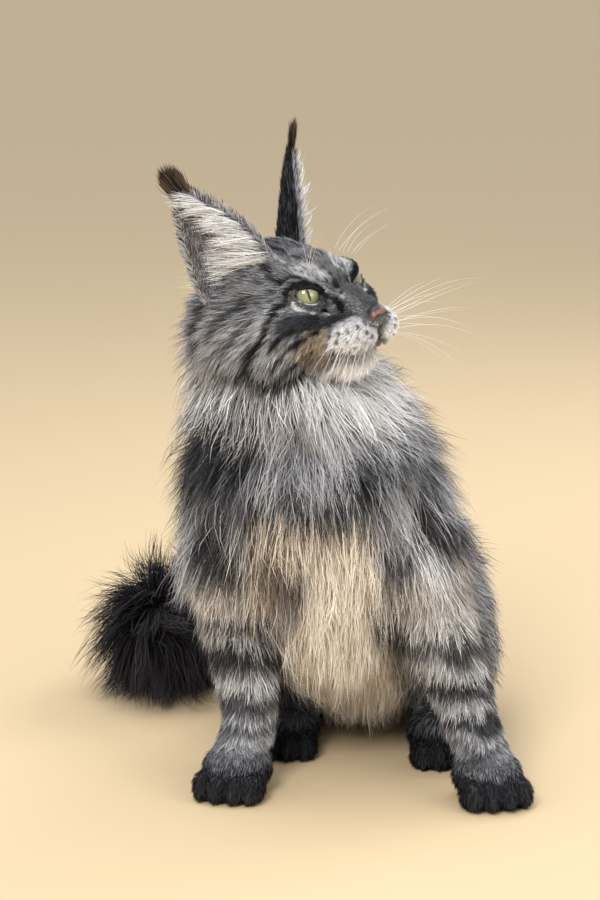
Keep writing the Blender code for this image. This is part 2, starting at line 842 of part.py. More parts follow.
def add_eyeball(bm, side, radius):
    """A ball with its pole on the pupil, the same facets for the eye and for its socket."""
    place = head_matrix() @ eye_frame(side) @ Matrix.Rotation(math.radians(90.0), 4, "Y")
    bmesh.ops.create_uvsphere(bm, u_segments=12, v_segments=8, radius=radius, matrix=place)
    bmesh.ops.triangulate(bm, faces=bm.faces)


def make_eye(side, cat, slot):
    bm = bmesh.new()
    add_eyeball(bm, side, EYE_RADIUS)
    eye = object_of("eye_left" if side > 0 else "eye_right", bm, cat, slot)
    eye.data.shade_smooth()
    return eye


def ear_point(side, across, up):
    """A point of the ear's sheet in the head's frame, across from -1 to 1, up from 0 to 1."""
    rise = EAR_TIP - EAR_BASE
    facing = EAR_FACING.normalized()
    outward = rise.normalized().cross(facing).normalized() * -1.0
    facing = rise.normalized().cross(outward).normalized()
    if facing.dot(EAR_FACING) < 0:
        facing.negate()
    width = EAR_HALF_WIDTH * (1.0 - up**1.7) ** 0.85 + 0.0012
    bulge = 1.0 + 0.22 * math.sin(math.pi * up) * max(across, 0.0)
    depth = EAR_DEPTH * (1.0 - up) ** 0.7
    place = (
        EAR_BASE
        + rise * (up * 1.16 - 0.16)
        + outward * (width * across * bulge)
        - facing * (depth * (1.0 - across * across))
    )
    return Vector((place.x, side * place.y, place.z))


def make_ear(side, cat, slot):
    """A cupped sheet with its opening forward and outward, thickened by Solidify."""
    bm = bmesh.new()
    frame = head_matrix()
    rows = []
    for j in range(EAR_ROWS + 1):
        up = j / EAR_ROWS
        row = []
        for i in range(EAR_COLUMNS + 1):
            across = 2.0 * i / EAR_COLUMNS - 1.0
            row.append(bm.verts.new(frame @ ear_point(side, across, up)))
        rows.append(row)
    for low, high in zip(rows, rows[1:]):
        for i in range(EAR_COLUMNS):
            bm.faces.new((low[i], low[i + 1], high[i + 1], high[i]))
    ear = object_of("ear_left" if side > 0 else "ear_right", bm, cat, slot)
    wall = ear.modifiers.new("wall", "SOLIDIFY")
    wall.thickness = EAR_WALL
    wall.offset = 0.0
    settle(ear)
    bm = bmesh.new()
    bm.from_mesh(ear.data)
    bmesh.ops.recalc_face_normals(bm, faces=bm.faces)
    bmesh.ops.triangulate(bm, faces=bm.faces)
    bm.to_mesh(ear.data)
    bm.free()
    return ear


def centre_on_floor(collection):
    """Moves every solid so that the middle of the footprint is the origin."""
    places = []
    for item in collection.objects:
        points = np.empty(len(item.data.vertices) * 3, np.float32)
        item.data.vertices.foreach_get("co", points)
        places.append(points.reshape(-1, 3))
    stacked = np.concatenate(places)
    low, high = stacked.min(axis=0), stacked.max(axis=0)
    shift = Vector((-(low[0] + high[0]) / 2, -(low[1] + high[1]) / 2, -low[2]))
    for item in collection.objects:
        item.data.transform(Matrix.Translation([float(part) for part in shift]))


def down_the_body(place, normal):
    """Chest and flank hair runs down, and backwards behind the shoulders."""
    return Vector((0.0, 0.35 * float(np.clip((place.y + 0.01) / 0.06, 0.0, 1.0)), -1.0))


def off_the_neck(place, normal):
    """The ruff runs down and stands a little away from the neck."""
    return DOWN + Vector((normal.x, normal.y, 0.0)) * 0.35


def off_the_tail(place, normal):
    """Plume hair runs towards the tail's tip and fans out from the bone."""
    line = [Vector(centre) for centre, _ in TAIL_LINE]
    nearest = min(range(len(line)), key=lambda i: (line[i] - place).length)
    towards = line[min(nearest + 1, len(line) - 1)] - line[max(nearest - 1, 0)]
    return towards.normalized() + normal * 0.6 + DOWN * 0.55


def down_the_thigh(place, normal):
    return Vector((0.0, 0.45, -1.0))


def cheek_lie(place, normal):
    """Cheek hair runs back and down from the face, in the head's frame."""
    return head_matrix().to_3x3() @ Vector((-0.9, 0.0, -0.55)) + normal * 0.35


def on_chest(place, normal):
    return place.y < 0.0 and place.z > 0.085 and normal.y < -0.25 and normal.z < 0.9


def on_body(place, normal):
    return place.z > 0.050 and not (place.y < 0.012 and normal.y < -0.25) and normal.z < 0.97


def on_ruff(place, normal):
    return place.z > 0.236 and abs(normal.z) < 0.75


def on_cheek(place, normal):
    local = head_matrix().inverted() @ place
    side = abs(local.y) > 0.030 and local.z < 0.012 and -0.046 < local.x < 0.016
    throat = local.z < -0.034 and local.x < 0.040
    return side or throat


def on_plume(place, normal):
    return place.z > 0.014 and normal.z > -0.3


def on_thigh(place, normal):
    return place.z > 0.030 and place.y > 0.075


def on_elbow(place, normal):
    return 0.060 < place.z < 0.130 and normal.y > 0.45


WHERE_AND_HOW = {
    "chest": (on_chest, down_the_body),
    "body": (on_body, down_the_body),
    "ruff": (on_ruff, off_the_neck),
    "cheek": (on_cheek, cheek_lie),
    "plume": (on_plume, off_the_tail),
    "thigh": (on_thigh, down_the_thigh),
    "elbow": (on_elbow, down_the_thigh),
}


def ear_tufts(side, locks):
    """The tuft at the ear's tip."""
    frame = head_matrix()
    facing = frame.to_3x3() @ Vector((EAR_FACING.x, side * EAR_FACING.y, EAR_FACING.z))
    made = []
    for root, tip, half in EAR_TUFTS:
        start = frame @ Vector((root[0], side * root[1], root[2]))
        end = frame @ Vector((tip[0], side * tip[1], tip[2]))
        stations = [(start.lerp(end, k / LOCK_STEPS), facing) for k in range(LOCK_STEPS + 1)]
        bm = bmesh.new()
        blade(bm, stations, half, TUFT_THICKNESS)
        made.append(object_of("tuft", bm, locks))
    return made


def main():
    clear_scene()
    cat = new_collection("maine_coon_cat")
    cutters = new_collection("cutters")
    locks = new_collection("locks")
    grey = material("grey", 0.85)
    black = material("black", 0.85)
    glass = material("eye", 0.12)

    head = head_flesh(cat, grey)
    torso = make_torso(cat, grey)
    neck = make_neck(cat, grey)
    part_at_neck(head, neck)
    halve(torso, TORSO_CUT_AT, -TORSO_CUT_UP)
    halve(neck, TORSO_CUT_AT, TORSO_CUT_UP)
    carve_face(head, cutters)
    tail_base, tail_tip = make_tail(cat, black)
    front = [make_leg(name, cat, grey) for name in FRONT_LEGS]
    hind = [make_leg(name, cat, grey) for name in HIND_LEGS]
    legs = [*front, *hind]
    ears = {side: make_ear(side, cat, grey) for side in (1, -1)}
    for side in (1, -1):
        make_eye(side, cat, glass)

    floor = box_cutter("floor_cutter", (-0.6, -0.6, -0.4), (0.6, 0.6, 0.0), cutters)
    for item in (torso, tail_base, tail_tip, *legs):
        stand_flat(item, floor)
    bpy.data.objects.remove(floor, do_unlink=True)
    for side, ear in ears.items():
        make_room(ear, [head], cutters)
        root_locks(ear, ear_tufts(side, locks), [head], locks, cutters)
    make_room(tail_base, [torso], cutters)
    for index, leg in enumerate(legs):
        make_room(leg, [torso, neck, tail_base, tail_tip, *legs[:index]], cutters)

    tails = [tail_base, tail_tip]
    for leg in hind:
        dress(leg, ["thigh"], [torso, *tails], locks, cutters, 110)
    for leg in front:
        dress(leg, ["elbow"], [torso, *hind], locks, cutters, 120)
    dress(torso, ["chest", "body"], [*legs, *tails, neck], locks, cutters, 210)
    dress(tail_base, ["plume"], [torso, *hind, tail_tip], locks, cutters, 310)
    dress(tail_tip, ["plume"], [torso, *hind, tail_base], locks, cutters, 320)
    dress(neck, ["ruff"], [torso, head, *front], locks, cutters, 410)
    dress(head, ["cheek"], [neck, torso, *ears.values()], locks, cutters, 510)
    centre_on_floor(cat)


main()
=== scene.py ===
"""The looks of a seated Maine Coon cat: skin, eyes, nose, ears, whiskers and coat.

All shapes are worked out in the pose frame of the solids, in metres, with the chest
towards -Y and the floor at z = 0. One shift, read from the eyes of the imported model,
moves them to their place. The coat is made of flat, tapered strands. A guide is traced
over the skin for each clump of hair, and the strands of the clump follow it.
"""

import math
from collections import namedtuple

import bmesh
import bpy
import numpy as np
from mathutils import Matrix, Vector
from mathutils.bvhtree import BVHTree
from mathutils.kdtree import KDTree


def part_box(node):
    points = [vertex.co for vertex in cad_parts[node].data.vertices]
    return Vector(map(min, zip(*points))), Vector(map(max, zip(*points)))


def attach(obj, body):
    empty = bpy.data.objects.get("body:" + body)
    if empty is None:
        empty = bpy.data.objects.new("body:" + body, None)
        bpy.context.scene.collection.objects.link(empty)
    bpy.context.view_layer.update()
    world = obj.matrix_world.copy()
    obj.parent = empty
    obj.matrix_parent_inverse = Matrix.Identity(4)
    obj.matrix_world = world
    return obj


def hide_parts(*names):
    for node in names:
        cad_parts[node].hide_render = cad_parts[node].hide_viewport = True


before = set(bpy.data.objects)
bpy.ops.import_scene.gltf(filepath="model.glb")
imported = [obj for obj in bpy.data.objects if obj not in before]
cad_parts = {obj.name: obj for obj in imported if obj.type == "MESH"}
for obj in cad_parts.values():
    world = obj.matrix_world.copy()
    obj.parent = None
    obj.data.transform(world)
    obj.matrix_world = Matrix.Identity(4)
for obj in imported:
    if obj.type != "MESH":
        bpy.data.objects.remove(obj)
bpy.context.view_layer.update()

MM = 0.001
TO_MM = 1000.0
SEED = 7
SIDE_NAMES = {1: "left", -1: "right"}

# Pose of the head, as in the solids
HEAD_AT = Vector((-0.012, 0.0, 0.3215))
HEAD_YAW = math.radians(50.0)
HEAD_PITCH = math.radians(5.5)
HEAD_ROLL = math.radians(9.0)


def beads(*rows):
    """Centres and radii of beads, from rows of x, y, z and the radii in millimetres."""
    metres = [[value / TO_MM for value in row] for row in rows]
    return [(tuple(row[:3]), tuple(row[3:])) for row in metres]


# Skin stations, as in the solids
NECK_LINE = beads(
    (-20, 14, 292, 36, 38, 30),
    (-10, 18, 266, 44, 46, 30),
    (0, 22, 236, 54, 54, 34),
)
CHEST_LINE = beads(
    (2, 14, 206, 62, 52, 34),
    (12, 12, 180, 62, 60, 50),
    (22, 24, 142, 60, 60, 46),
    (36, 70, 108, 62, 62, 52),
    (46, 118, 86, 66, 62, 60),
    (50, 160, 66, 60, 48, 52),
)
BACK_LINE = beads(
    (6, 50, 216, 44, 36, 32),
    (22, 86, 190, 48, 42, 46),
    (38, 128, 146, 52, 44, 48),
    (48, 164, 100, 52, 42, 48),
    (50, 182, 58, 46, 34, 42),
)
TAIL_LINE = beads(
    (50, 188, 44, 18, 18, 18),
    (26, 232, 38, 16, 16, 16),
    (-28, 246, 38, 15, 15, 15),
    (-80, 230, 48, 14, 14, 14),
    (-110, 194, 58, 12, 12, 12),
    (-106, 162, 58, 10, 10, 10),
    (-90, 150, 50, 6, 6, 6),
)
SHOULDERS = [
    beads(
        (-34, 6, 196, 26, 34, 34),
        (-40, 2, 160, 24, 30, 26),
    ),
    beads(
        (54, 6, 196, 26, 34, 34),
        (68, 2, 162, 24, 30, 26),
    ),
]
FRONT_LEGS = [
    beads(
        (-40, 0, 150, 26, 32, 30),
        (-40, 4, 118, 23, 27, 24),
        (-37, -18, 80, 17.5, 18, 20),
        (-34, -34, 44, 15.5, 16, 18),
        (-42, -44, 22, 16, 17, 16),
    ),
    beads(
        (70, 0, 152, 27, 32, 30),
        (83, 0, 120, 23, 27, 24),
        (102, -26, 80, 17.5, 18, 20),
        (115, -46, 44, 15.5, 16, 18),
        (124, -58, 22, 16, 17, 16),
    ),
]
HIND_LEGS = [
    beads(
        (-4, 128, 78, 26, 54, 50),
        (-12, 106, 60, 26, 50, 44),
        (-16, 70, 44, 22, 32, 32),
    ),
    beads(
        (98, 124, 78, 26, 54, 50),
        (104, 102, 60, 26, 50, 44),
        (104, 64, 44, 22, 32, 32),
    ),
]
HIND_FEET = [
    beads(
        (-24, 150, 18, 14, 14, 14),
        (-18, 92, 16, 13, 13, 13),
        (-10, 42, 16, 13, 13, 13),
    ),
    beads(
        (114, 146, 18, 14, 14, 14),
        (106, 76, 16, 13, 13, 13),
        (98, 22, 16, 13, 13, 13),
    ),
]
# Paws: the middle of the sole, and the heading of the toes in degrees from -Y to +X
PAWS = [
    ((-0.042, -0.050), -16.0),
    ((0.124, -0.064), 14.0),
    ((-0.010, 0.042), -8.0),
    ((0.098, 0.022), 6.0),
]
PAW_HALF = Vector((0.0215, 0.024, 0.0165))
TOE_RADIUS = 0.0095
TOES = (-0.0165, -0.006, 0.006, 0.0165)
SOLE_LEVEL = 0.0006

# Head, in its own frame: x runs to the nose, y to the cat's left and z up
HEAD_BEADS = beads(
    (-4, 0, 4, 44, 38, 36),
    (22, 0, 13, 26, 28, 21),
    (40, 0, 10, 16, 15, 14),
    (56, 0, 1, 14, 11.5, 11),
    (68, 0, -4, 11, 9.5, 9),
    (78, 0, -9.5, 6.5, 8.5, 6),
    (53, 0, -33, 15, 13, 10.5),
    (36, 0, -30, 24, 22, 12),
)
HEAD_PAIRS = beads(
    (65, 11, -17.5, 17, 14, 12.5),
    (50, 18, -17, 17, 12, 14),
    (26, 28, -9, 26, 17, 20),
    (8, 29, -20, 30, 20, 19),
    (-18, 27, -8, 28, 20, 28),
)
EYE_AT = Vector((0.0385, 0.0205, 0.0105))
EYE_RADIUS = 0.0106
EYE_OUTWARD = math.radians(27.0)
EYE_UPWARD = math.radians(6.0)
# Lids: thickness, and half sizes and slant of their opening
LID = 0.0022
LID_HALF_WIDTH = 0.0108
LID_HALF_HEIGHTS = {1: 0.0043, -1: 0.0057}
LID_SLANT = math.radians(20.0)
RIM_RADIUS = 0.0013
RIM_CLEAR = 0.0006
LIP_RADIUS = 0.0011
GAZE_OUTWARD = math.radians(8.0)
GAZE_UPWARD = math.radians(3.0)
IRIS_RADIUS = 0.0078
PUPIL_HALF = (0.0008, 0.0044)
PUPIL_TILT = math.radians(26.0)
CORNEA_RISE = 0.0011
MOUTH_GROOVE = 0.0012
# The line of the mouth in millimetres, from under the nose to the left corner
MOUTH_LINE = [
    (80, 0, -16),
    (78, 0, -23),
    (74.5, 6, -29),
    (66, 15, -31),
    (55, 22, -29),
    (43, 27, -24),
]
NOSE_BEADS = beads(
    (78.5, 0, -5.2, 5.6, 7, 4),
    (78.5, 4.6, -7.8, 5, 3.4, 4),
    (78.5, -4.6, -7.8, 5, 3.4, 4),
    (79.5, 0, -11.5, 3.8, 2.2, 5),
)
NOSTRIL_AT = Vector((0.0822, 0.0044, -0.0086))
NOSTRIL_HALF = Vector((0.0050, 0.0017, 0.0015))
NOSE_TIP = np.array((0.088, 0.0, -0.004))

# Ears, for the cat's left; the right one is mirrored
EAR_BASE = Vector((-0.006, 0.033, 0.026))
EAR_TIP = Vector((-0.018, 0.056, 0.088))
EAR_FACING = Vector((0.64, 0.74, 0.16))
EAR_HALF_WIDTH = 0.024
EAR_DEPTH = 0.016
EAR_WALL = 0.0016
EAR_GRID = 26
EAR_MAP_EDGE = 0.02

# Colours as the eye sees them, from 0 to 255
PALETTE = {
    "black": (20, 21, 25),
    "charcoal": (44, 46, 52),
    "slate": (78, 79, 84),
    "grey": (128, 127, 128),
    "silver": (196, 196, 198),
    "white": (242, 241, 240),
    "cream": (222, 207, 187),
    "bib": (231, 218, 202),
    "tan": (160, 144, 122),
    "brown": (96, 80, 66),
    "blueblack": (22, 25, 35),
    "leather": (138, 92, 78),
    "iris": (132, 138, 100),
    "iris_edge": (76, 82, 56),
    "iris_core": (164, 162, 112),
}


def linear(colour):
    """A colour of the palette in linear light."""
    share = np.array(PALETTE[colour]) / 255.0
    return np.where(share <= 0.04045, share / 12.92, ((share + 0.055) / 1.055) ** 2.4)


def head_matrix():
    """From the head's own frame to the pose frame."""
    forward = Vector((
        math.sin(HEAD_YAW) * math.cos(HEAD_PITCH),
        -math.cos(HEAD_YAW) * math.cos(HEAD_PITCH),
        math.sin(HEAD_PITCH),
    ))
    level = Vector((math.cos(HEAD_YAW), math.sin(HEAD_YAW), 0.0))
    upright = forward.cross(level)
    left = level * math.cos(HEAD_ROLL) + upright * math.sin(HEAD_ROLL)
    up = forward.cross(left)
    turned = Matrix((forward, left, up)).transposed().to_4x4()
    return Matrix.Translation(HEAD_AT) @ turned


HEAD = head_matrix()
TO_HEAD = np.array(HEAD.inverted())
FROM_HEAD = np.array(HEAD)


def shift_to_part():
    """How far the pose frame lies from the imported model's, read between the eyes."""
    corners = [corner for name in ("eye_left", "eye_right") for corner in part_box(name)]
    middle = sum(corners, Vector()) / len(corners)
    return middle - HEAD @ Vector((EYE_AT.x, 0.0, EYE_AT.z))


SHIFT = shift_to_part()


def in_head(points):
    return points @ TO_HEAD[:3, :3].T + TO_HEAD[:3, 3]


def unit(vectors):
    return vectors / np.maximum(np.linalg.norm(vectors, axis=-1, keepdims=True), 1e-12)


def smoothstep(low, high, values):
    t = np.clip((values - low) / (high - low), 0.0, 1.0)
    return t * t * (3.0 - 2.0 * t)


def smooth_between(stations, share):
    """A point on the smooth curve through the rows of an array, share from 0 to 1."""
    last = len(stations) - 1
    at = min(share * last, last - 1e-9)
    i = int(at)
    t = at - i
    p0, p1 = stations[max(i - 1, 0)], stations[i]
    p2, p3 = stations[i + 1], stations[min(i + 2, last)]
    return 0.5 * (
        2 * p1
        + (p2 - p0) * t
        + (2 * p0 - 5 * p1 + 4 * p2 - p3) * t * t
        + (3 * p1 - p0 - 3 * p2 + p3) * t * t * t
    )


def line_rows(line, between=4):
    """Rows of centre and radii along a line of stations."""
    rows = np.array([(*centre, *radii) for centre, radii in line])
    count = (len(line) - 1) * between
    return np.array([smooth_between(rows, i / count) for i in range(count + 1)])


def ripple(points, scale, seed, octaves=6):
    """Smooth noise of about -1 to 1 whose waves are about scale long."""
    rng = np.random.default_rng(seed)
    total = np.zeros(len(points))
    for _ in range(octaves):
        way = unit(rng.normal(size=3)) * 2.0 * math.pi / (scale * rng.uniform(0.6, 1.6))
        total += np.sin(points @ way + rng.uniform(0.0, 2.0 * math.pi))
    return total / math.sqrt(octaves) / 1.4


# Making of meshes


def new_object(name, mesh):
    made = bpy.data.objects.new(name, mesh)
    bpy.context.scene.collection.objects.link(made)
    return made


def object_of(name, bm):
    mesh = bpy.data.meshes.new(name)
    bm.to_mesh(mesh)
    bm.free()
    return new_object(name, mesh)


def settle(item):
    """Replaces an object's mesh by what its modifiers make of it."""
    bpy.context.view_layer.update()
    graph = bpy.context.evaluated_depsgraph_get()
    mesh = bpy.data.meshes.new_from_object(item.evaluated_get(graph))
    item.modifiers.clear()
    item.data = mesh


def add_bead(bm, centre, radii, place=None):
    matrix = Matrix.Translation(centre) @ Matrix.Diagonal((*radii, 1.0))
    if place is not None:
        matrix = place @ matrix
    bmesh.ops.create_icosphere(bm, subdivisions=4, radius=1.0, matrix=matrix)


def add_line(bm, line):
    for row in line_rows(line):
        add_bead(bm, row[:3], row[3:])


def melt(item, voxel, smoothing):
    """Fuses beads into one closed skin."""
    remesh = item.modifiers.new("melt", "REMESH")
    remesh.mode = "VOXEL"
    remesh.voxel_size = voxel
    soften = item.modifiers.new("soften", "SMOOTH")
    soften.factor = 0.5
    soften.iterations = smoothing
    settle(item)


def combine(item, other, operation):
    """A Boolean with another object, which is then removed."""
    change = item.modifiers.new("combine", "BOOLEAN")
    change.operation = operation
    change.object = other
    change.solver = "MANIFOLD"
    settle(item)
    bpy.data.objects.remove(other, do_unlink=True)


def arrays_of(mesh):
    """Points, triangles, point normals and each triangle's corners in the loops."""
    mesh.calc_loop_triangles()
    points = np.empty(len(mesh.vertices) * 3, np.float32)
    mesh.vertices.foreach_get("co", points)
    normals = np.empty(len(mesh.vertices) * 3, np.float32)
    mesh.vertex_normals.foreach_get("vector", normals)
    triangles = np.empty(len(mesh.loop_triangles) * 3, np.int32)
    mesh.loop_triangles.foreach_get("vertices", triangles)
    corners = np.empty(len(mesh.loop_triangles) * 3, np.int32)
    mesh.loop_triangles.foreach_get("loops", corners)
    return (
        points.reshape(-1, 3).astype(float),
        triangles.reshape(-1, 3),
        normals.reshape(-1, 3).astype(float),
        corners.reshape(-1, 3),
    )


def paint(mesh, colours):
    """Gives each point of a mesh its colour."""
    layer = mesh.attributes.new("coat_colour", "FLOAT_COLOR", "POINT")
    rgba = np.ones((len(colours), 4), np.float32)
    rgba[:, :3] = colours
    layer.data.foreach_set("color", rgba.ravel())


def hand_in(item, replaced=()):
    """Moves a finished piece from the pose frame to its place and sets it on its body."""
    item.data.transform(Matrix.Translation(SHIFT))
    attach(item, "root")
    if replaced:
        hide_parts(*replaced)


def complete(item, colours, material, replaced=()):
    """Paints a smooth piece, gives it its material and moves it to its place on its body."""
    paint(item.data, colours)
    item.data.shade_smooth()
    item.data.materials.clear()
    item.data.materials.append(material)
    hand_in(item, replaced)


# Skin


def body_skin():
    bm = bmesh.new()
    for line in (NECK_LINE, CHEST_LINE, BACK_LINE, TAIL_LINE, *SHOULDERS):
        add_line(bm, line)
    for line in (*FRONT_LEGS, *HIND_LEGS, *HIND_FEET):
        add_line(bm, line)
    body = object_of("body_skin", bm)
    melt(body, 0.0034, 8)
    return body


def paws_skin():
    """Feet with four toes, finer than the body."""
    bm = bmesh.new()
    for (x, y), heading in PAWS:
        place = Matrix.Translation((x, y, 0.0)) @ Matrix.Rotation(math.radians(heading), 4, "Z")
        add_bead(bm, (0.0, 0.002, PAW_HALF.z), PAW_HALF, place)
        for along in TOES:
            forward = -PAW_HALF.y * (0.92 - 12.6 * abs(along))
            centre = (along, forward, TOE_RADIUS * 0.95)
            add_bead(bm, centre, (TOE_RADIUS * 0.70, TOE_RADIUS * 1.35, TOE_RADIUS), place)
    paws = object_of("paws_skin", bm)
    melt(paws, 0.0014, 2)
    return paws


def head_skin():
    bm = bmesh.new()
    for centre, radii in HEAD_BEADS:
        add_bead(bm, centre, radii, HEAD)
    for side in (1, -1):
        for (x, y, z), radii in HEAD_PAIRS:
            add_bead(bm, (x, side * y, z), radii, HEAD)
        add_bead(bm, (EYE_AT.x, side * EYE_AT.y, EYE_AT.z), (EYE_RADIUS + LID,) * 3, HEAD)
    head = object_of("head_skin", bm)
    melt(head, 0.0013, 3)
    return head


def eye_axis(side):
    return Vector((
        math.cos(EYE_OUTWARD) * math.cos(EYE_UPWARD),
        side * math.sin(EYE_OUTWARD) * math.cos(EYE_UPWARD),
        math.sin(EYE_UPWARD),
    ))


def eye_frame(side):
    """At the eye's centre: x along its look, y level and z up, slanted with the lids."""
    look = eye_axis(side)
    level = Vector((0.0, 0.0, 1.0)).cross(look).normalized()
    up = look.cross(level)
    centre = Vector((EYE_AT.x, side * EYE_AT.y, EYE_AT.z))
    turned = Matrix((look, level, up)).transposed().to_4x4()
    slant = Matrix.Rotation(side * LID_SLANT, 4, "X")
    return HEAD @ Matrix.Translation(centre) @ turned @ slant


def cut_eyes(skin):
    """A socket for each eyeball, and the opening between its lids."""
    for side in (1, -1):
        place = eye_frame(side)
        bm = bmesh.new()
        bmesh.ops.create_uvsphere(
            bm, u_segments=48, v_segments=24, radius=EYE_RADIUS + 0.0002, matrix=place
        )
        combine(skin, object_of("socket", bm), "DIFFERENCE")
        bm = bmesh.new()
        slit = Matrix.Translation((EYE_RADIUS, 0.0, 0.0)) @ Matrix.Diagonal(
            (0.010, LID_HALF_WIDTH, LID_HALF_HEIGHTS[side], 1.0)
        )
        bmesh.ops.create_uvsphere(bm, u_segments=48, v_segments=24, radius=1.0, matrix=place @ slit)
        combine(skin, object_of("lid_opening", bm), "DIFFERENCE")


def tube(name, places, radius, sides=8, taper=None):
    """A closed round tube through places; taper gives the radius share along it."""
    bm = bmesh.new()
    rings = []
    places = [Vector(place) for place in places]
    across = None
    for i, place in enumerate(places):
        along = (places[min(i + 1, len(places) - 1)] - places[max(i - 1, 0)]).normalized()
        if across is None:
            across = along.orthogonal().normalized()
        across = (across - along * across.dot(along)).normalized()
        other = along.cross(across)
        share = i / (len(places) - 1)
        size = radius * (taper(share) if taper else 1.0)
        ring = []
        for k in range(sides):
            angle = 2.0 * math.pi * k / sides
            ring.append(bm.verts.new(
                place + (across * math.cos(angle) + other * math.sin(angle)) * size
            ))
        rings.append(ring)
    bm.faces.new(list(reversed(rings[0])))
    bm.faces.new(rings[-1])
    for low, high in zip(rings, rings[1:]):
        for k in range(sides):
            n = (k + 1) % sides
            bm.faces.new((low[k], low[n], high[n], high[k]))
    bmesh.ops.recalc_face_normals(bm, faces=bm.faces)
    return object_of(name, bm)


def mouth_places(side, tree, steps=20):
    """Points of the mouth's line on the skin, from under the nose to one corner."""
    stations = np.array([(x, side * y, z) for x, y, z in MOUTH_LINE]) / TO_MM
    places = []
    for i in range(steps + 1):
        aimed = HEAD @ Vector(smooth_between(stations, i / steps))
        places.append(tree.find_nearest(aimed)[0])
    return places


def tree_of(item):
    points, triangles, _, _ = arrays_of(item.data)
    return BVHTree.FromPolygons(points.tolist(), triangles.tolist())


def cut_mouth(skin):
    tree = tree_of(skin)
    for side in (1, -1):
        places = mouth_places(side, tree)
        combine(skin, tube("groove", places, MOUTH_GROOVE), "DIFFERENCE")


def flatten_soles(mesh):
    """Lets the pads rest flat, just clear of the floor."""
    points = np.empty(len(mesh.vertices) * 3, np.float32)
    mesh.vertices.foreach_get("co", points)
    points[2::3] = np.maximum(points[2::3], SOLE_LEVEL)
    mesh.vertices.foreach_set("co", points)


def make_skin():
    """The closed skin of the whole cat, but for its ears."""
    skin = body_skin()
    combine(skin, paws_skin(), "UNION")
    combine(skin, head_skin(), "UNION")
    cut_mouth(skin)
    cut_eyes(skin)
    flatten_soles(skin.data)
    skin.name = "skin"
    return skin


# Markings: strokes and patches laid over one another, in the head's frame or the pose frame

# Line, half width, colour and amount, in millimetres in the head's frame; both sides are alike
FACE_STROKES = [
    ([(66, 0, 8), (52, 0, 20), (36, 0, 31)], 9.0, "grey", 0.6),
    ([(80, 0, -2), (68, 0, 6), (58, 0, 13)], 6.5, "slate", 0.8),
    ([(52, 34, -2), (62, 24, -4), (45, 41, -3), (38, 46, -4)], 7.0, "charcoal", 0.92),
    ([(68, 16, -2), (60, 22, -4)], 5.0, "charcoal", 0.8),
    ([(58, 30, -22), (50, 36, -21), (42, 38, -26)], 7.5, "tan", 0.8),
    ([(50, 37, -12), (56, 32, -13)], 3.5, "tan", 0.7),
    ([(68, 22, -14), (75, 16, -13), (64, 25, -19), (77, 10, -19)], 7.5, "white", 0.9),
    ([(62, 0, -40), (52, 6, -42), (38, 8, -50)], 12.0, "white", 0.97),
    ([(48, 28, -34), (38, 30, -42)], 7.0, "tan", 0.55),
    ([(30, 0, -60), (8, 6, -62), (-14, 8, -60)], 22.0, "silver", 0.95),
    ([(43, 14, 31), (47, 10, 28), (36, 18, 33)], 4.8, "silver", 0.97),
    ([(33, 24, 30), (42, 20, 25), (52, 16, 18), (60, 10, 11)], 3.0, "silver", 0.9),
    ([(35, 33, 17), (31, 42, 11), (28, 49, 3), (21, 53, -9)], 3.3, "black", 1.0),
    ([(21, 53, -9), (15, 56, -17), (9, 58, -27), (6, 58, -36)], 4.2, "black", 1.0),
    ([(55, 37, -8), (43, 48, -6), (34, 52, -11), (26, 53, -19)], 2.4, "black", 1.0),
    ([(53, 40, -12), (45, 45, -16), (36, 48, -24), (25, 50, -33)], 3.0, "black", 1.0),
    ([(44, 36, -29), (35, 39, -35), (22, 47, -40)], 3.0, "black", 1.0),
    # The jaw band: black fur, and painted shadow between the chin and the ruff
    ([(26, 14, -50), (26, 34, -43), (14, 45, -43), (8, 57, -38)], 5.0, "black", 1.0),
    ([(8, 57, -38), (-8, 56, -38), (-24, 54, -36)], 4.4, "black", 0.95),
    ([(38, 44, -22), (28, 48, -32), (40, 42, -26)], 2.0, "silver", 0.7),
    ([(24, 46, 10), (20, 50, -2), (14, 54, -12)], 3.0, "silver", 0.6),
    ([(24, 31, 25), (33, 27, 28), (39, 25, 26)], 2.4, "black", 0.95),
    ([(30, 17, 37), (38, 18, 33), (45, 15, 29), (50, 12, 25)], 1.9, "black", 1.0),
    ([(30, 11, 40), (36, 7, 39), (44, 4, 34), (50, 6, 27)], 2.0, "black", 1.0),
    ([(50, 6, 27), (55, 8, 20), (59, 9, 14)], 2.6, "black", 0.9),
    ([(30, 11, 40), (14, 9, 44), (-4, 8, 46), (-22, 8, 44)], 2.4, "black", 0.95),
    ([(24, 31, 25), (12, 26, 36), (-2, 22, 41), (-18, 18, 43)], 3.0, "black", 0.95),
    ([(34, 2, 39), (16, 0, 46), (-6, 0, 48), (-28, 0, 45)], 1.8, "black", 0.9),
    ([(20, 17, 40), (4, 15, 45), (-14, 13, 46)], 2.2, "silver", 0.8),
    ([(4, 42, 14), (-8, 46, 4), (-20, 50, -8)], 3.4, "charcoal", 0.85),
    ([(10, 48, 2), (0, 54, -8), (-12, 57, -20)], 3.2, "charcoal", 0.8),
    ([(-24, 48, 10), (-34, 48, -6), (-38, 46, -20)], 5.0, "black", 0.9),
    ([(-34, 34, 28), (-44, 30, 10), (-48, 26, -8)], 6.0, "charcoal", 0.9),
    # Upper lid and inner corner: black lid edge, and painted shade under the upper lid and in the
    # corner
    ([(33, 34, 17), (38, 30, 19), (45, 24, 18), (52, 17, 13)], 2.8, "black", 1.0),
    ([(51, 19, 13), (57, 14, 8), (60, 14, 2)], 4.4, "black", 1.0),
    ([(39, 36, 9), (43, 35, 6), (49, 31, 3), (54, 24, 1)], 1.7, "white", 0.95),
    ([(82, 7, -9), (78, 10, -12), (82, 2, -17)], 0.8, "black", 0.8),
]
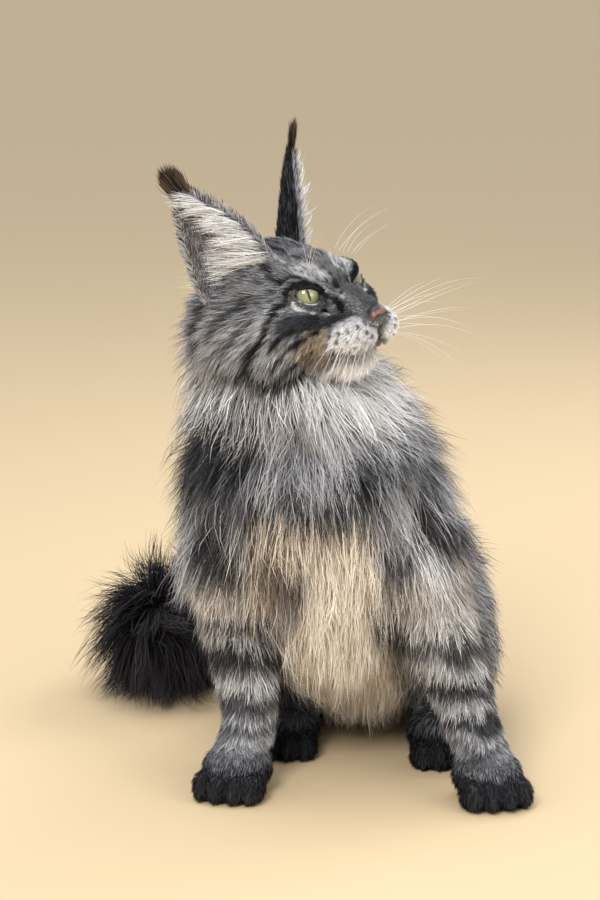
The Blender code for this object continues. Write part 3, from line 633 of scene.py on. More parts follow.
# Whisker spots: rows run from under the nose to the corner of the mouth
SPOT_ROWS = 4
SPOT_COLUMNS = 5
SPOT_RADIUS = 1.5
SPOT_TOP = -9.5
SPOT_DEPTH = 14.0
# Inner line of the head from which its markings spread outward, in millimetres
CORE_ENDS = (-25.0, 58.0)
CORE_WIDTH = 0.25
CORE_LEVEL = -8.0


def outward_of(points):
    """Away from the middle line of the head, so that markings hold through the coat's depth."""
    ahead = np.clip(points[:, 0], *CORE_ENDS)
    core = np.stack([ahead, points[:, 1] * CORE_WIDTH, np.full(len(points), CORE_LEVEL)], 1)
    return unit(points - core)


def stroke_amount(points, outward, line, half):
    """1 on the stroke, fading to 0 over its edge; points and line in millimetres."""
    nearest = np.full(len(points), np.inf)
    line = np.array(line, float)
    for start, end in zip(line, line[1:]):
        way = end - start
        share = np.clip((points - start) @ way / max(way @ way, 1e-9), 0.0, 1.0)
        gap = points - (start + share[:, None] * way)
        deep = np.einsum("ij,ij->i", gap, outward)
        gap -= outward * (0.85 * np.clip(deep, -9.0, 9.0))[:, None]
        nearest = np.minimum(nearest, np.einsum("ij,ij->i", gap, gap))
    return 1.0 - smoothstep(0.60 * half, 1.30 * half, np.sqrt(nearest))


def plain(name, places):
    """One colour of the palette for each of some places."""
    return np.tile(linear(name), (len(places), 1))


def layer_on(colours, name, amount):
    """Lays one colour of the palette over others."""
    return colours + (linear(name) - colours) * np.clip(amount, 0.0, 1.0)[:, None]


def whisker_spots():
    """Middles of the dark spots on one pad, in millimetres."""
    for row in range(SPOT_ROWS):
        for column in range(SPOT_COLUMNS):
            back = column + 0.4 * (row % 2)
            yield (78.0 - 4.6 * back, 12.5 + 3.4 * back - 0.9 * row, SPOT_TOP - 1.1 * back - 4.0 * row)


def face_colours(local, grain):
    """Markings of the head. local is in metres in its frame, grain is -1 to 1 for each hair."""
    points = local * TO_MM
    points[:, 1] = np.abs(points[:, 1])
    wavy = points + np.stack([ripple(points, 11.0, 31 + k) for k in range(3)], 1) * 1.1
    mottled = 0.5 + 0.5 * ripple(points * (1.0, 1.0, 1.4), 8.0, 40)
    base = layer_on(plain("slate", points), "grey", mottled * 0.7 + 0.35)
    cheek = smoothstep(48.0, 20.0, points[:, 0]) * smoothstep(14.0, -6.0, points[:, 2])
    base = layer_on(base, "silver", 0.34 * cheek + 0.40 * mottled * (grain > 0.0))
    base = layer_on(base, "charcoal", 0.55 * (grain < -0.45))
    base = layer_on(base, "charcoal", 0.45 * smoothstep(32.0, 42.0, points[:, 2]))
    outward = outward_of(wavy)
    for line, half, colour, amount in FACE_STROKES:
        base = layer_on(base, colour, stroke_amount(wavy, outward, line, half) * amount)
    for spot in whisker_spots():
        amount = stroke_amount(points, outward, [spot, np.array(spot) + 0.01], SPOT_RADIUS)
        base = layer_on(base, "black", amount * 0.85)
    return base


# On the front, seen along +Y: x, z, half sizes, colour and amount, in millimetres
FRONT_PATCHES = [
    (0, 262, 95, 27, "silver", 0.95),
    (-70, 262, 28, 26, "white", 0.9),
    (-15, 268, 45, 13, "white", 0.65),
    (46, 266, 42, 28, "white", 1.0),
    (-10, 246, 34, 7, "tan", 0.5),
    (-66, 222, 30, 27, "black", 0.92),
    (-42, 230, 16, 15, "black", 0.95),
    (-15, 205, 9, 9, "black", 0.8),
    (0, 196, 55, 12, "slate", 0.75),
    (-22, 214, 10, 9, "silver", 0.7),
    (6, 216, 14, 10, "silver", 0.6),
    (30, 228, 18, 12, "silver", 0.8),
    (50, 221, 20, 9, "black", 0.95),
    (34, 205, 20, 8, "black", 0.95),
    (12, 196, 18, 6, "black", 0.8),
    (62, 235, 14, 7, "silver", 0.7),
    # A thin charcoal band: painted shadow under the edge of the tier of locks above
    (-20, 187, 52, 6, "charcoal", 0.7),
    (2, 168, 50, 14, "cream", 0.95),
    (-20, 150, 26, 6, "brown", 0.85),
    (-24, 132, 22, 8, "tan", 0.6),
    (-34, 112, 18, 12, "charcoal", 0.8),
    (30, 122, 27, 44, "bib", 0.97),
    (28, 72, 34, 34, "bib", 0.97),
    (2, 90, 14, 30, "bib", 0.9),
    (72, 192, 18, 16, "silver", 0.5),
    (85, 190, 9, 32, "black", 0.85),
    (102, 178, 8, 32, "silver", 0.8),
    (117, 160, 6, 22, "black", 0.9),
    (84, 152, 12, 12, "white", 0.9),
    (99, 168, 11, 9, "black", 0.9),
    (66, 112, 22, 18, "black", 0.97),
    (96, 130, 14, 9, "silver", 0.8),
    (-76, 150, 7, 30, "silver", 0.8),
    (-56, 150, 15, 26, "black", 0.9),
    (-28, 138, 12, 8, "cream", 0.8),
]
# Bars across the front legs: level on the leg, half height, and how dark
LEG_BARS = [
    [(110, 6.5, 0.9), (86, 7.0, 0.95), (57, 5.5, 0.85), (41, 4.5, 0.7)],
    [(94, 6.5, 0.9), (69, 6.5, 0.95), (49, 5.5, 0.9), (34, 4.0, 0.6)],
]
STRIPE_SPACING = 0.031


def body_colours(points, grain):
    """Markings of the neck and torso in the pose frame."""
    warp_x = ripple(points, 0.040, 51) * 5.0 + ripple(points, 0.014, 52) * 2.5
    warp_z = ripple(points, 0.040, 53) * 5.0 + ripple(points, 0.014, 54) * 2.5
    x = points[:, 0] * TO_MM + warp_x
    z = points[:, 2] * TO_MM + warp_z + grain * 4.0
    along = points[:, 1] * 0.72 - points[:, 2] * 0.55 + (warp_x + warp_z) * MM * 0.6
    wave = np.sin(2.0 * math.pi * along / STRIPE_SPACING)
    base = layer_on(plain("grey", points), "silver", 0.35 + 0.3 * grain)
    base = layer_on(base, "charcoal", smoothstep(-0.1, 0.55, wave) * 0.85)
    middle = np.interp(points[:, 2], [0.06, 0.15, 0.22, 0.30], [0.050, 0.038, 0.006, -0.02])
    spine = smoothstep(0.020, 0.010, np.abs(points[:, 0] - middle)) * smoothstep(
        0.06, 0.10, points[:, 1]
    )
    base = layer_on(base, "black", spine * 0.85)
    nape = smoothstep(0.02, 0.05, points[:, 1]) * smoothstep(0.20, 0.23, points[:, 2])
    base = layer_on(base, "slate", nape * 0.7)
    front = smoothstep(0.045, -0.005, points[:, 1])
    fronted = layer_on(base, "slate", np.full(len(points), 0.15))
    for at_x, at_z, half_x, half_z, colour, amount in FRONT_PATCHES:
        reach = np.hypot((x - at_x) / half_x, (z - at_z) / half_z)
        fronted = layer_on(fronted, colour, (1.0 - smoothstep(0.72, 1.22, reach)) * amount)
    base = base + (fronted - base) * front[:, None]
    broken = ripple(points * (1.0, 1.0, 0.6), 0.017, 55) + 0.7 * grain
    breast = (1.0 - smoothstep(0.6, 1.15, np.hypot((x - 12.0) / 78.0, (z - 214.0) / 30.0))) * front
    base = layer_on(base, "black", breast * smoothstep(0.25, 0.75, broken) * 0.85)
    base = layer_on(base, "silver", breast * smoothstep(-0.35, -0.85, broken) * 0.75)
    strands = ripple(points * (1.0, 1.0, 0.35), 0.012, 56)
    base = layer_on(base, "brown", front * smoothstep(0.5, 1.1, strands) * 0.30)
    belly = smoothstep(0.085, 0.045, points[:, 2]) * smoothstep(0.14, 0.08, points[:, 1])
    inner = smoothstep(0.085, 0.065, points[:, 0]) * smoothstep(-0.025, -0.005, points[:, 0])
    return layer_on(base, "bib", belly * inner * 0.8)


def front_leg_colours(points, grain, index):
    warp = ripple(points, 0.022, 61 + index) * 4.0 + grain * 3.0
    warp += ripple(points, 0.009, 65 + index) * 1.5
    level = points[:, 2] * TO_MM + warp
    base = layer_on(plain("silver", points), "grey", 0.35 - 0.3 * grain)
    base = layer_on(base, "cream", smoothstep(0.045, 0.10, points[:, 2]) * 0.3)
    for height, half, amount in LEG_BARS[index]:
        bar = 1.0 - smoothstep(0.6 * half, 1.4 * half, np.abs(level - height))
        base = layer_on(base, "black", bar * amount)
    base = layer_on(base, "charcoal", smoothstep(0.02, 0.04, points[:, 1]) * 0.5)
    return paw_colours(base, points, grain)


def paw_colours(base, points, grain):
    """Feet are black below, with grey hair over the toes."""
    base = layer_on(base, "slate", smoothstep(0.036, 0.026, points[:, 2]) * 0.7)
    return layer_on(base, "black", smoothstep(0.028, 0.018, points[:, 2] + grain * 0.005) * 0.88)


def hind_leg_colours(points, grain):
    warp = ripple(points, 0.05, 71) * 0.007 + grain * 0.002
    along = points[:, 1] * 0.8 - points[:, 2] * 0.5 + warp
    wave = np.sin(2.0 * math.pi * along / STRIPE_SPACING + 1.0)
    base = layer_on(plain("grey", points), "silver", 0.3 + 0.25 * grain)
    base = layer_on(base, "charcoal", smoothstep(-0.1, 0.5, wave) * 0.85)
    return paw_colours(base, points, grain)


def tail_colours(points, grain):
    base = plain("blueblack", points)
    sheen = ripple(points, 0.05, 81)
    base = layer_on(base, "slate", 0.10 + 0.12 * sheen + 0.08 * grain)
    return layer_on(base, "brown", smoothstep(0.20, 0.12, points[:, 1]) * 0.12)


PARTS = ["head", "body", "tail", "foreleg_right", "foreleg_left", "hindleg"]
HEAD_PART, BODY, TAIL, FORE_RIGHT, FORE_LEFT, HIND = range(len(PARTS))


def colours_at(points, parts, grain):
    """The colour of skin or hair at each point, by the part it grows from."""
    made = np.empty((len(points), 3))
    painters = {
        HEAD_PART: lambda p, g: face_colours(in_head(p), g),
        BODY: body_colours,
        TAIL: tail_colours,
        FORE_RIGHT: lambda p, g: front_leg_colours(p, g, 0),
        FORE_LEFT: lambda p, g: front_leg_colours(p, g, 1),
        HIND: hind_leg_colours,
    }
    for part, painter in painters.items():
        chosen = parts == part
        if chosen.any():
            made[chosen] = painter(points[chosen], grain[chosen])
    return made


# The coat's fields over the skin


def bead_reach(points, rows):
    """How far points are from the nearest bead of some rows, as a share of its radii."""
    nearest = np.full(len(points), np.inf)
    for row in rows:
        gap = (points - row[:3]) / row[3:]
        nearest = np.minimum(nearest, np.einsum("ij,ij->i", gap, gap))
    return np.sqrt(nearest)


def part_of(points):
    """Which part each point of the skin belongs to."""
    pairs = [((x, s * y, z), radii) for (x, y, z), radii in HEAD_PAIRS for s in (1, -1)]
    head_rows = np.array([(*centre, *radii) for centre, radii in [*HEAD_BEADS, *pairs]])
    body = [*line_rows(NECK_LINE), *line_rows(CHEST_LINE), *line_rows(BACK_LINE)]
    for line in SHOULDERS:
        body += list(line_rows(line))
    hind = [row for line in (*HIND_LEGS, *HIND_FEET) for row in line_rows(line)]
    paws = [(x, y, PAW_HALF.z, *PAW_HALF) for (x, y), _ in PAWS]
    reach = np.stack([
        bead_reach(in_head(points), head_rows),
        bead_reach(points, np.array(body)),
        bead_reach(points, line_rows(TAIL_LINE)),
        bead_reach(points, np.array([*line_rows(FRONT_LEGS[0]), paws[0]])),
        bead_reach(points, np.array([*line_rows(FRONT_LEGS[1]), paws[1]])),
        bead_reach(points, np.array([*hind, *paws[2:]])),
    ])
    return np.argmin(reach, axis=0)


# Columns of the fields: the lie (3), then the measures in the order that makers return them
LENGTH, RISE, DROOP, CROWD, WIDTH = range(3, 8)
FIELD_COUNT = 8


def face_fields(points):
    local = in_head(points)
    away = unit(local - NOSE_TIP)
    low = smoothstep(0.010, -0.030, local[:, 2]) * smoothstep(0.080, 0.030, local[:, 0])
    away[:, 2] -= 0.55 * low
    away[:, 2] += 0.25 * smoothstep(0.02, 0.04, local[:, 2])
    gap = np.linalg.norm(local - NOSE_TIP, axis=1)
    length = np.interp(gap, [0.004, 0.015, 0.035, 0.060, 0.090, 0.125],
                       [0.0015, 0.0026, 0.0046, 0.0080, 0.0145, 0.0230])
    crown = smoothstep(0.018, 0.034, local[:, 2])
    length = length * (1.0 - 0.40 * crown)
    length += 0.008 * low * smoothstep(0.050, 0.020, local[:, 0])
    throat = smoothstep(-0.026, -0.040, local[:, 2])
    length += 0.008 * throat
    for side in (1, -1):
        centre = np.array((EYE_AT.x, side * EYE_AT.y, EYE_AT.z)) + np.array(eye_axis(side)) * EYE_RADIUS
        near = np.linalg.norm(local - centre, axis=1)
        length = length * (0.28 + 0.72 * smoothstep(0.0105, 0.018, near))
    crowd = np.interp(length, [0.003, 0.010, 0.030], [5.2, 3.3, 1.6])
    width = np.interp(length, [0.003, 0.010, 0.030], [0.29, 0.37, 0.46]) * MM
    return away @ FROM_HEAD[:3, :3].T, length, length * 0.20, 0.02 + 0.08 * low, crowd, width


def body_fields(points):
    x, y, z = points.T
    behind = smoothstep(-0.02, 0.06, y)
    middle = np.interp(z, [0.05, 0.14, 0.20, 0.29], [0.045, 0.024, 0.004, -0.018])
    outward = unit(np.stack([x - middle, y - 0.03, np.zeros(len(x))], 1))
    lie = np.stack([0.35 * outward[:, 0], 0.35 * behind, -np.ones(len(x))], 1)
    neck = smoothstep(0.215, 0.245, z)
    lie += outward * (0.35 * neck)[:, None]
    chest = smoothstep(0.03, -0.02, y)
    length = 0.046 + 0.012 * chest * smoothstep(0.10, 0.15, z) + 0.004 * neck
    length -= 0.012 * smoothstep(0.10, 0.16, y)
    return unit(lie), length, 0.023 + 0.006 * neck, 0.10 + 0.10 * chest, 0.54, 0.54 * MM


def nearest_rows(points, rows):
    """The row of a line that is nearest to each point."""
    return np.argmin(((points[:, None, :] - rows[None, :, :3]) ** 2).sum(-1), axis=1)


def tail_fields(points):
    rows = line_rows(TAIL_LINE, 6)
    near = nearest_rows(points, rows)
    ahead = np.minimum(near + 2, len(rows) - 1)
    behind = np.maximum(near - 2, 0)
    towards = unit(rows[ahead, :3] - rows[behind, :3])
    outward = unit(points - rows[near, :3])
    lie = towards + outward * 0.30
    lie[:, 2] -= 0.40
    length = 0.066 - 0.014 * smoothstep(0.2, 0.8, outward[:, 2])
    return unit(lie), length, 0.041, 0.16, 0.95, 0.58 * MM


def leg_fields(points, index):
    rows = line_rows(FRONT_LEGS[index])
    outward = points - rows[nearest_rows(points, rows), :3]
    outward[:, 2] = 0.0
    outward = unit(outward)
    behind = smoothstep(0.0, 0.8, outward[:, 1])
    lie = unit(np.array((0.0, 0.12, -1.0)) + outward * 0.25)
    height = points[:, 2]
    length = np.interp(height, [0.0, 0.03, 0.06, 0.10, 0.16], [0.005, 0.009, 0.014, 0.022, 0.038])
    crowd = np.interp(length, [0.005, 0.014, 0.038], [1.8, 1.25, 0.64])
    width = np.interp(length, [0.005, 0.014, 0.038], [0.50, 0.56, 0.62]) * MM
    feathered = length * (1.0 + 0.7 * behind * smoothstep(0.03, 0.08, height))
    return lie, feathered, feathered * 0.22, 0.08, crowd, width


def hind_fields(points):
    length = np.interp(points[:, 2], [0.0, 0.025, 0.05, 0.08], [0.006, 0.010, 0.026, 0.036])
    crowd = np.interp(length, [0.006, 0.014, 0.036], [0.95, 0.62, 0.38])
    width = np.interp(length, [0.006, 0.014, 0.036], [0.66, 0.70, 0.74]) * MM
    return unit(np.array((0.0, 0.30, -1.0))), length, length * 0.28, 0.08, crowd, width


def paw_lie(points, fields):
    """On the feet hair lies forward over the toes."""
    for (x, y), heading in PAWS:
        angle = math.radians(heading)
        forward = np.array((math.sin(angle), -math.cos(angle), -0.35))
        gap = np.hypot(points[:, 0] - x, points[:, 1] - y)
        share = smoothstep(0.040, 0.026, gap) * smoothstep(0.036, 0.022, points[:, 2])
        fields[:, :3] += (forward - fields[:, :3]) * share[:, None]


def smooth_fields(fields, triangles, rounds):
    """Blends the fields over the skin, so that no border shows."""
    edges = np.concatenate([triangles[:, [0, 1]], triangles[:, [1, 2]], triangles[:, [2, 0]]])
    edges = np.unique(np.sort(edges, axis=1), axis=0)
    a, b = edges.T
    degree = np.bincount(edges.ravel(), minlength=len(fields))[:, None]
    for _ in range(rounds):
        total = np.stack([
            np.bincount(a, column[b], len(fields)) + np.bincount(b, column[a], len(fields))
            for column in fields.T
        ], 1)
        fields = 0.5 * fields + 0.5 * total / np.maximum(degree, 1)
    return fields


def coat_fields(points, triangles, parts):
    fields = np.zeros((len(points), FIELD_COUNT))
    makers = {
        HEAD_PART: face_fields,
        BODY: body_fields,
        TAIL: tail_fields,
        FORE_RIGHT: lambda p: leg_fields(p, 0),
        FORE_LEFT: lambda p: leg_fields(p, 1),
        HIND: hind_fields,
    }
    for part, maker in makers.items():
        chosen = parts == part
        lie, *measures = maker(points[chosen])
        fields[chosen, :3] = lie
        for column, values in enumerate(measures, LENGTH):
            fields[chosen, column] = values
    paw_lie(points, fields)
    return smooth_fields(fields, triangles, 5)


# Hair

Skin = namedtuple("Skin", "points triangles normals uv fields parts tree")
Roots = namedtuple("Roots", "places normals uv fields parts")
GUIDE_STEPS = 8
GUIDE_TRIES = 60000
# How far apart guides are for three lengths of hair
SPACED_LENGTHS = [0.004, 0.015, 0.060]
GUIDE_SPACING = [0.0024, 0.0042, 0.0080]
ROOT_DEPTH = 0.0015
# Kinds of hair: least and greatest length, segments of a strand, and name
HAIR_LENGTHS = [(0.0, 0.016, 2, "short"), (0.016, 0.028, 3, "middle"), (0.028, 1.0, 4, "long")]
# Tufts on the unwrap: how wide each patch is, and how far those of the ears stray
TUFT_PATCH = 0.003
TUFT_STRAY = 0.002
MOST_TRIANGLES = 190000
LOWEST_HAIR = 0.0012
DOWN = Vector((0.0, 0.0, -1.0))


def skin_record(item):
    """The skin with its unwrap and the coat's fields."""
    bpy.ops.object.select_all(action="DESELECT")
    bpy.context.view_layer.objects.active = item
    item.select_set(True)
    bpy.ops.object.mode_set(mode="EDIT")
    bpy.ops.mesh.select_all(action="SELECT")
    bpy.ops.uv.smart_project(angle_limit=math.radians(66.0), island_margin=0.002)
    bpy.ops.object.mode_set(mode="OBJECT")
    mesh = item.data
    mesh.uv_layers[0].name = "OFBake"
    points, triangles, normals, corners = arrays_of(mesh)
    uv = np.empty(len(mesh.loops) * 2, np.float32)
    mesh.uv_layers[0].uv.foreach_get("vector", uv)
    uv = uv.reshape(-1, 2)[corners]
    parts = part_of(points)
    fields = coat_fields(points, triangles, parts)
    tree = BVHTree.FromPolygons(points.tolist(), triangles.tolist())
    return Skin(points, triangles, normals, uv, fields, parts, tree)


def areas_of(skin):
    a, b, c = (skin.points[skin.triangles[:, k]] for k in range(3))
    return np.linalg.norm(np.cross(b - a, c - a), axis=1) / 2.0


def take_roots(skin, weights, count, rng):
    """Places on the skin drawn by weight, with all that the skin says there."""
    chosen = rng.choice(len(weights), size=count, p=weights / weights.sum())
    u, v = rng.random((2, count))
    over = u + v > 1.0
    u[over], v[over] = 1.0 - u[over], 1.0 - v[over]
    shares = np.stack([1.0 - u - v, u, v], 1)
    corners = skin.triangles[chosen]

    def mixed(values):
        return np.einsum("nk,nkd->nd", shares, values[corners])

    uv = np.einsum("nk,nkd->nd", shares, skin.uv[chosen])
    parts = skin.parts[corners[np.arange(count), np.argmax(shares, axis=1)]]
    return Roots(mixed(skin.points), unit(mixed(skin.normals)), uv, mixed(skin.fields), parts)


def one_a_cell(roots, cell):
    """Thins roots to one in each cell of space, so that they lie evenly."""
    keys = np.floor(roots.places / cell[:, None]).astype(int)
    keys = np.concatenate([keys, np.round(cell[:, None] * 1e5).astype(int)], axis=1)
    _, first = np.unique(keys, axis=0, return_index=True)
    first.sort()
    return Roots(*(values[first] for values in roots))


def trace(tree, root, normal, field):
    """A guide: it leaves the skin, follows the lie over it, rises and droops."""
    length, rise, droop = (float(value) for value in field[LENGTH:CROWD])
    stride = length / GUIDE_STEPS
    lie = Vector(field[:3])
    way = (lie - normal * lie.dot(normal)).normalized()
    way = (way + normal * 0.35).normalized()
    place = root.copy()
    outward = normal.copy()
    stations = [root - normal * ROOT_DEPTH]
    facings = [normal.copy()]
    for step in range(1, GUIDE_STEPS + 1):
        way = (way * (1.0 - droop) + DOWN * droop).normalized()
        ahead = place + way * stride
        near, facing, _, _ = tree.find_nearest(ahead)
        wanted = rise * (step / GUIDE_STEPS) ** 0.75
        if (ahead - near).dot(facing) < wanted:
            ahead = near + facing * wanted
        ahead.z = max(ahead.z, LOWEST_HAIR)
        outward = outward.lerp(facing, 0.5).normalized()
        way = way.lerp((ahead - place).normalized(), 0.8).normalized()
        place = place + way * stride
        place.z = max(place.z, LOWEST_HAIR)
        stations.append(place.copy())
        facings.append(outward.copy())
    return stations, facings


def make_guides(skin, rng):
    """Guides over the whole skin, as arrays of stations and of facings."""
    areas = areas_of(skin)
    length = skin.fields[skin.triangles].mean(axis=1)[:, LENGTH]
    spacing = np.interp(length, SPACED_LENGTHS, GUIDE_SPACING)
    roots = take_roots(skin, areas / spacing**2, GUIDE_TRIES, rng)
    cell = np.interp(roots.fields[:, LENGTH], SPACED_LENGTHS, GUIDE_SPACING)
    roots = one_a_cell(roots, np.round(cell, 4))
    stray = rng.normal(size=(len(roots.places), 3)) * 0.20
    for k in range(3):
        stray[:, k] += ripple(roots.places, 0.050, 91 + k) * 0.26
    shaggy = smoothstep(0.010, 0.035, roots.fields[:, LENGTH])
    roots.fields[:, :3] = unit(roots.fields[:, :3]) + stray * (0.35 + 0.65 * shaggy)[:, None]
    roots.fields[:, LENGTH] *= rng.uniform(0.72, 1.16, len(roots.places))
    roots.fields[:, RISE] *= 1.0 + shaggy * rng.uniform(-0.50, 0.20, len(roots.places))
    stations = np.empty((len(roots.places), GUIDE_STEPS + 1, 3))
    facings = np.empty_like(stations)
    for i, (place, normal, field) in enumerate(zip(roots.places, roots.normals, roots.fields)):
        path, faced = trace(skin.tree, Vector(place), Vector(normal), field)
        stations[i] = path
        facings[i] = faced
    share = np.linspace(0.0, 1.0, GUIDE_STEPS + 1)[None, :, None]
    turns = rng.uniform(0.6, 1.3, (len(stations), 1, 1))
    sway = rng.normal(size=(len(stations), 1, 3)) * 0.055 * roots.fields[:, LENGTH, None, None]
    stations += sway * shaggy[:, None, None] * np.sin(share * turns * 2.0 * math.pi) * share
    stations[..., 2] = np.maximum(stations[..., 2], LOWEST_HAIR)
    return stations, facings


def nearest_guides(guides, places):
    tree = KDTree(len(guides))
    for i, root in enumerate(guides[:, 0]):
        tree.insert(root, i)
    tree.balance()
    return np.array([[hit[1] for hit in tree.find_n(place, 2)] for place in places])


def strand_paths(roots, guides, segments, rng):
    """Rows of points and facings of each strand, from its root to its tip."""
    stations, facings = guides
    count = len(roots.places)
    near = nearest_guides(stations, roots.places)
    steps = np.linspace(0, GUIDE_STEPS, segments + 1).astype(int)
    share = (steps / GUIDE_STEPS)[None, :, None]
    first = stations[near[:, 0]][:, steps]
    second = stations[near[:, 1]][:, steps]
    loose = rng.random((count, 1, 1)) ** 2 * 0.8
    scale = rng.uniform(0.72, 1.10, (count, 1, 1))
    moved = (first - first[:, :1]) * (1.0 - loose) + (second - second[:, :1]) * loose
    home = roots.places - roots.normals * ROOT_DEPTH
    apart = home[:, None, :] - first[:, :1]
    clump = rng.uniform(0.15, 0.75, (count, 1, 1)) * (1.0 - loose)
    length = roots.fields[:, LENGTH][:, None, None]
    frizz = rng.normal(size=(count, 1, 3)) * 0.065 * length * share**1.3
    curl = rng.normal(size=(count, 1, 3)) * 0.040 * length * np.sin(share * math.pi)
    paths = first[:, :1] + moved * scale + apart * (1.0 - clump * share**1.3) + frizz + curl
    paths[..., 2] = np.maximum(paths[..., 2], LOWEST_HAIR * 0.5)
    return paths, facings[near[:, 0]][:, steps]


def ribbons(paths, facings, width, rng):
    """Left and right edges of flat strands, their faces turned to and fro a little."""
    along = np.empty_like(paths)
    along[:, 1:-1] = paths[:, 2:] - paths[:, :-2]
    along[:, 0] = paths[:, 1] - paths[:, 0]
    along[:, -1] = paths[:, -1] - paths[:, -2]
    along = unit(along)
    across = unit(np.cross(along, facings))
    up = np.cross(across, along)
    roll = rng.normal(size=(len(paths), 1, 1)) * 0.45
    across = across * np.cos(roll) + up * np.sin(roll)
    share = np.linspace(0.0, 1.0, paths.shape[1])[None, :, None]
    half = 0.5 * width[:, None, None] * (0.75 + 0.9 * share) * (1.0 - share) ** 0.55
    half = np.maximum(half, 0.0)
    return paths - across * half, paths + across * half


def strands_mesh(name, left, right, colours, uv):
    """One mesh of all strands: quads to the last row, then a triangle to the tip."""
    count, rows, _ = left.shape
    segments = rows - 1
    each = 2 * segments + 1
    points = np.empty((count, each, 3), np.float32)
    points[:, 0 : 2 * segments : 2] = left[:, :-1]
    points[:, 1 : 2 * segments : 2] = right[:, :-1]
    points[:, -1] = (left[:, -1] + right[:, -1]) / 2.0
    tint = np.ones((count, each, 4), np.float32)
    tint[:, 0 : 2 * segments : 2, :3] = colours[:, :-1]
    tint[:, 1 : 2 * segments : 2, :3] = colours[:, :-1]
    tint[:, -1, :3] = colours[:, -1]
    corners = []
    for k in range(segments - 1):
        corners += [2 * k, 2 * k + 1, 2 * k + 3, 2 * k + 2]
    corners += [2 * segments - 2, 2 * segments - 1, 2 * segments]
    sizes = [4] * (segments - 1) + [3]
    loops = (np.arange(count)[:, None] * each + np.array(corners)[None, :]).ravel()
    totals = np.tile(sizes, count)
    mesh = bpy.data.meshes.new(name)
    mesh.vertices.add(count * each)
    mesh.vertices.foreach_set("co", points.ravel())
    mesh.loops.add(len(loops))
    mesh.loops.foreach_set("vertex_index", loops.astype(np.int32))
    mesh.polygons.add(len(totals))
    starts = np.concatenate([[0], np.cumsum(totals)[:-1]]).astype(np.int32)
    mesh.polygons.foreach_set("loop_start", starts)
    layer = mesh.attributes.new("coat_colour", "FLOAT_COLOR", "POINT")
    layer.data.foreach_set("color", tint.ravel())
    spread = np.array([(k % 2, k // 2 / segments) for k in range(2 * segments)] + [(0.5, 1.0)])
    patch = (spread - 0.5) * TUFT_PATCH
    places = uv[:, None, :] + patch[None, corners, :]
    bake = mesh.uv_layers.new(name="OFBake", do_init=False)
    bake.uv.foreach_set("vector", places.astype(np.float32).ravel())
    mesh.update()
    mesh.validate()
    return mesh


def hair_colours(paths, parts, rng):
    """Each hair has the marking over which most of it lies, and is darker at its root."""
    count, rows, _ = paths.shape
    grain = rng.uniform(-1.0, 1.0, count)
    share = np.linspace(0.0, 1.0, rows)[None, :, None]
    at = rng.uniform(0.45, 0.85, count) * (rows - 1)
    low = np.minimum(at.astype(int), rows - 2)
    rest = (at - low)[:, None]
    each = np.arange(count)
    points = paths[each, low] * (1.0 - rest) + paths[each, low + 1] * rest
    made = colours_at(points, parts, grain)[:, None, :]
    tone = np.exp(0.42 * grain)[:, None, None]
    root_shade = 0.42 + 0.58 * smoothstep(0.0, 0.55, share)
    tip_light = 1.0 + 0.45 * smoothstep(0.55, 1.0, share) * (rng.random((count, 1, 1)) > 0.45)
    return np.clip(made * tone * root_shade * tip_light, 0.0, 1.0)


def grow_coat(skin, rng):
    """Strands over the whole skin, in pieces of a limited size for each part."""
    guides = make_guides(skin, rng)
    areas = areas_of(skin)
    crowd = skin.fields[skin.triangles].mean(axis=1)[:, CROWD]
    weights = areas * crowd
    count = int(weights.sum() * TO_MM**2)
    roots = take_roots(skin, weights, count, rng)
    length = roots.fields[:, LENGTH]
    for part, name in enumerate(PARTS):
        for least, limit, segments, kind in HAIR_LENGTHS:
            chosen = np.flatnonzero((roots.parts == part) & (length >= least) & (length < limit))
            most = MOST_TRIANGLES // (2 * segments - 1)
            chunks = max(1, math.ceil(len(chosen) / most))
            for index, piece in enumerate(np.array_split(chosen, chunks)):
                if len(piece) == 0:
                    continue
                label = f"coat_{name}_{kind}_{index + 1}"
                own = Roots(*(values[piece] for values in roots))
                paths, facings = strand_paths(own, guides, segments, rng)
                colours = hair_colours(paths, own.parts, rng)
                left, right = ribbons(paths, facings, own.fields[:, WIDTH], rng)
                mesh = strands_mesh(label, left, right, colours, own.uv)
                mesh.materials.append(COAT_MATERIAL)
                hand_in(new_object(label, mesh))


# Materials

GRAIN_DETAIL = 3.0
BUMP_STRENGTH = 0.6


def principled(name, roughness):
    made = bpy.data.materials.new(name)
    made.use_nodes = True
    shader = made.node_tree.nodes["Principled BSDF"]
    shader.inputs["Roughness"].default_value = roughness
    return made, made.node_tree, shader


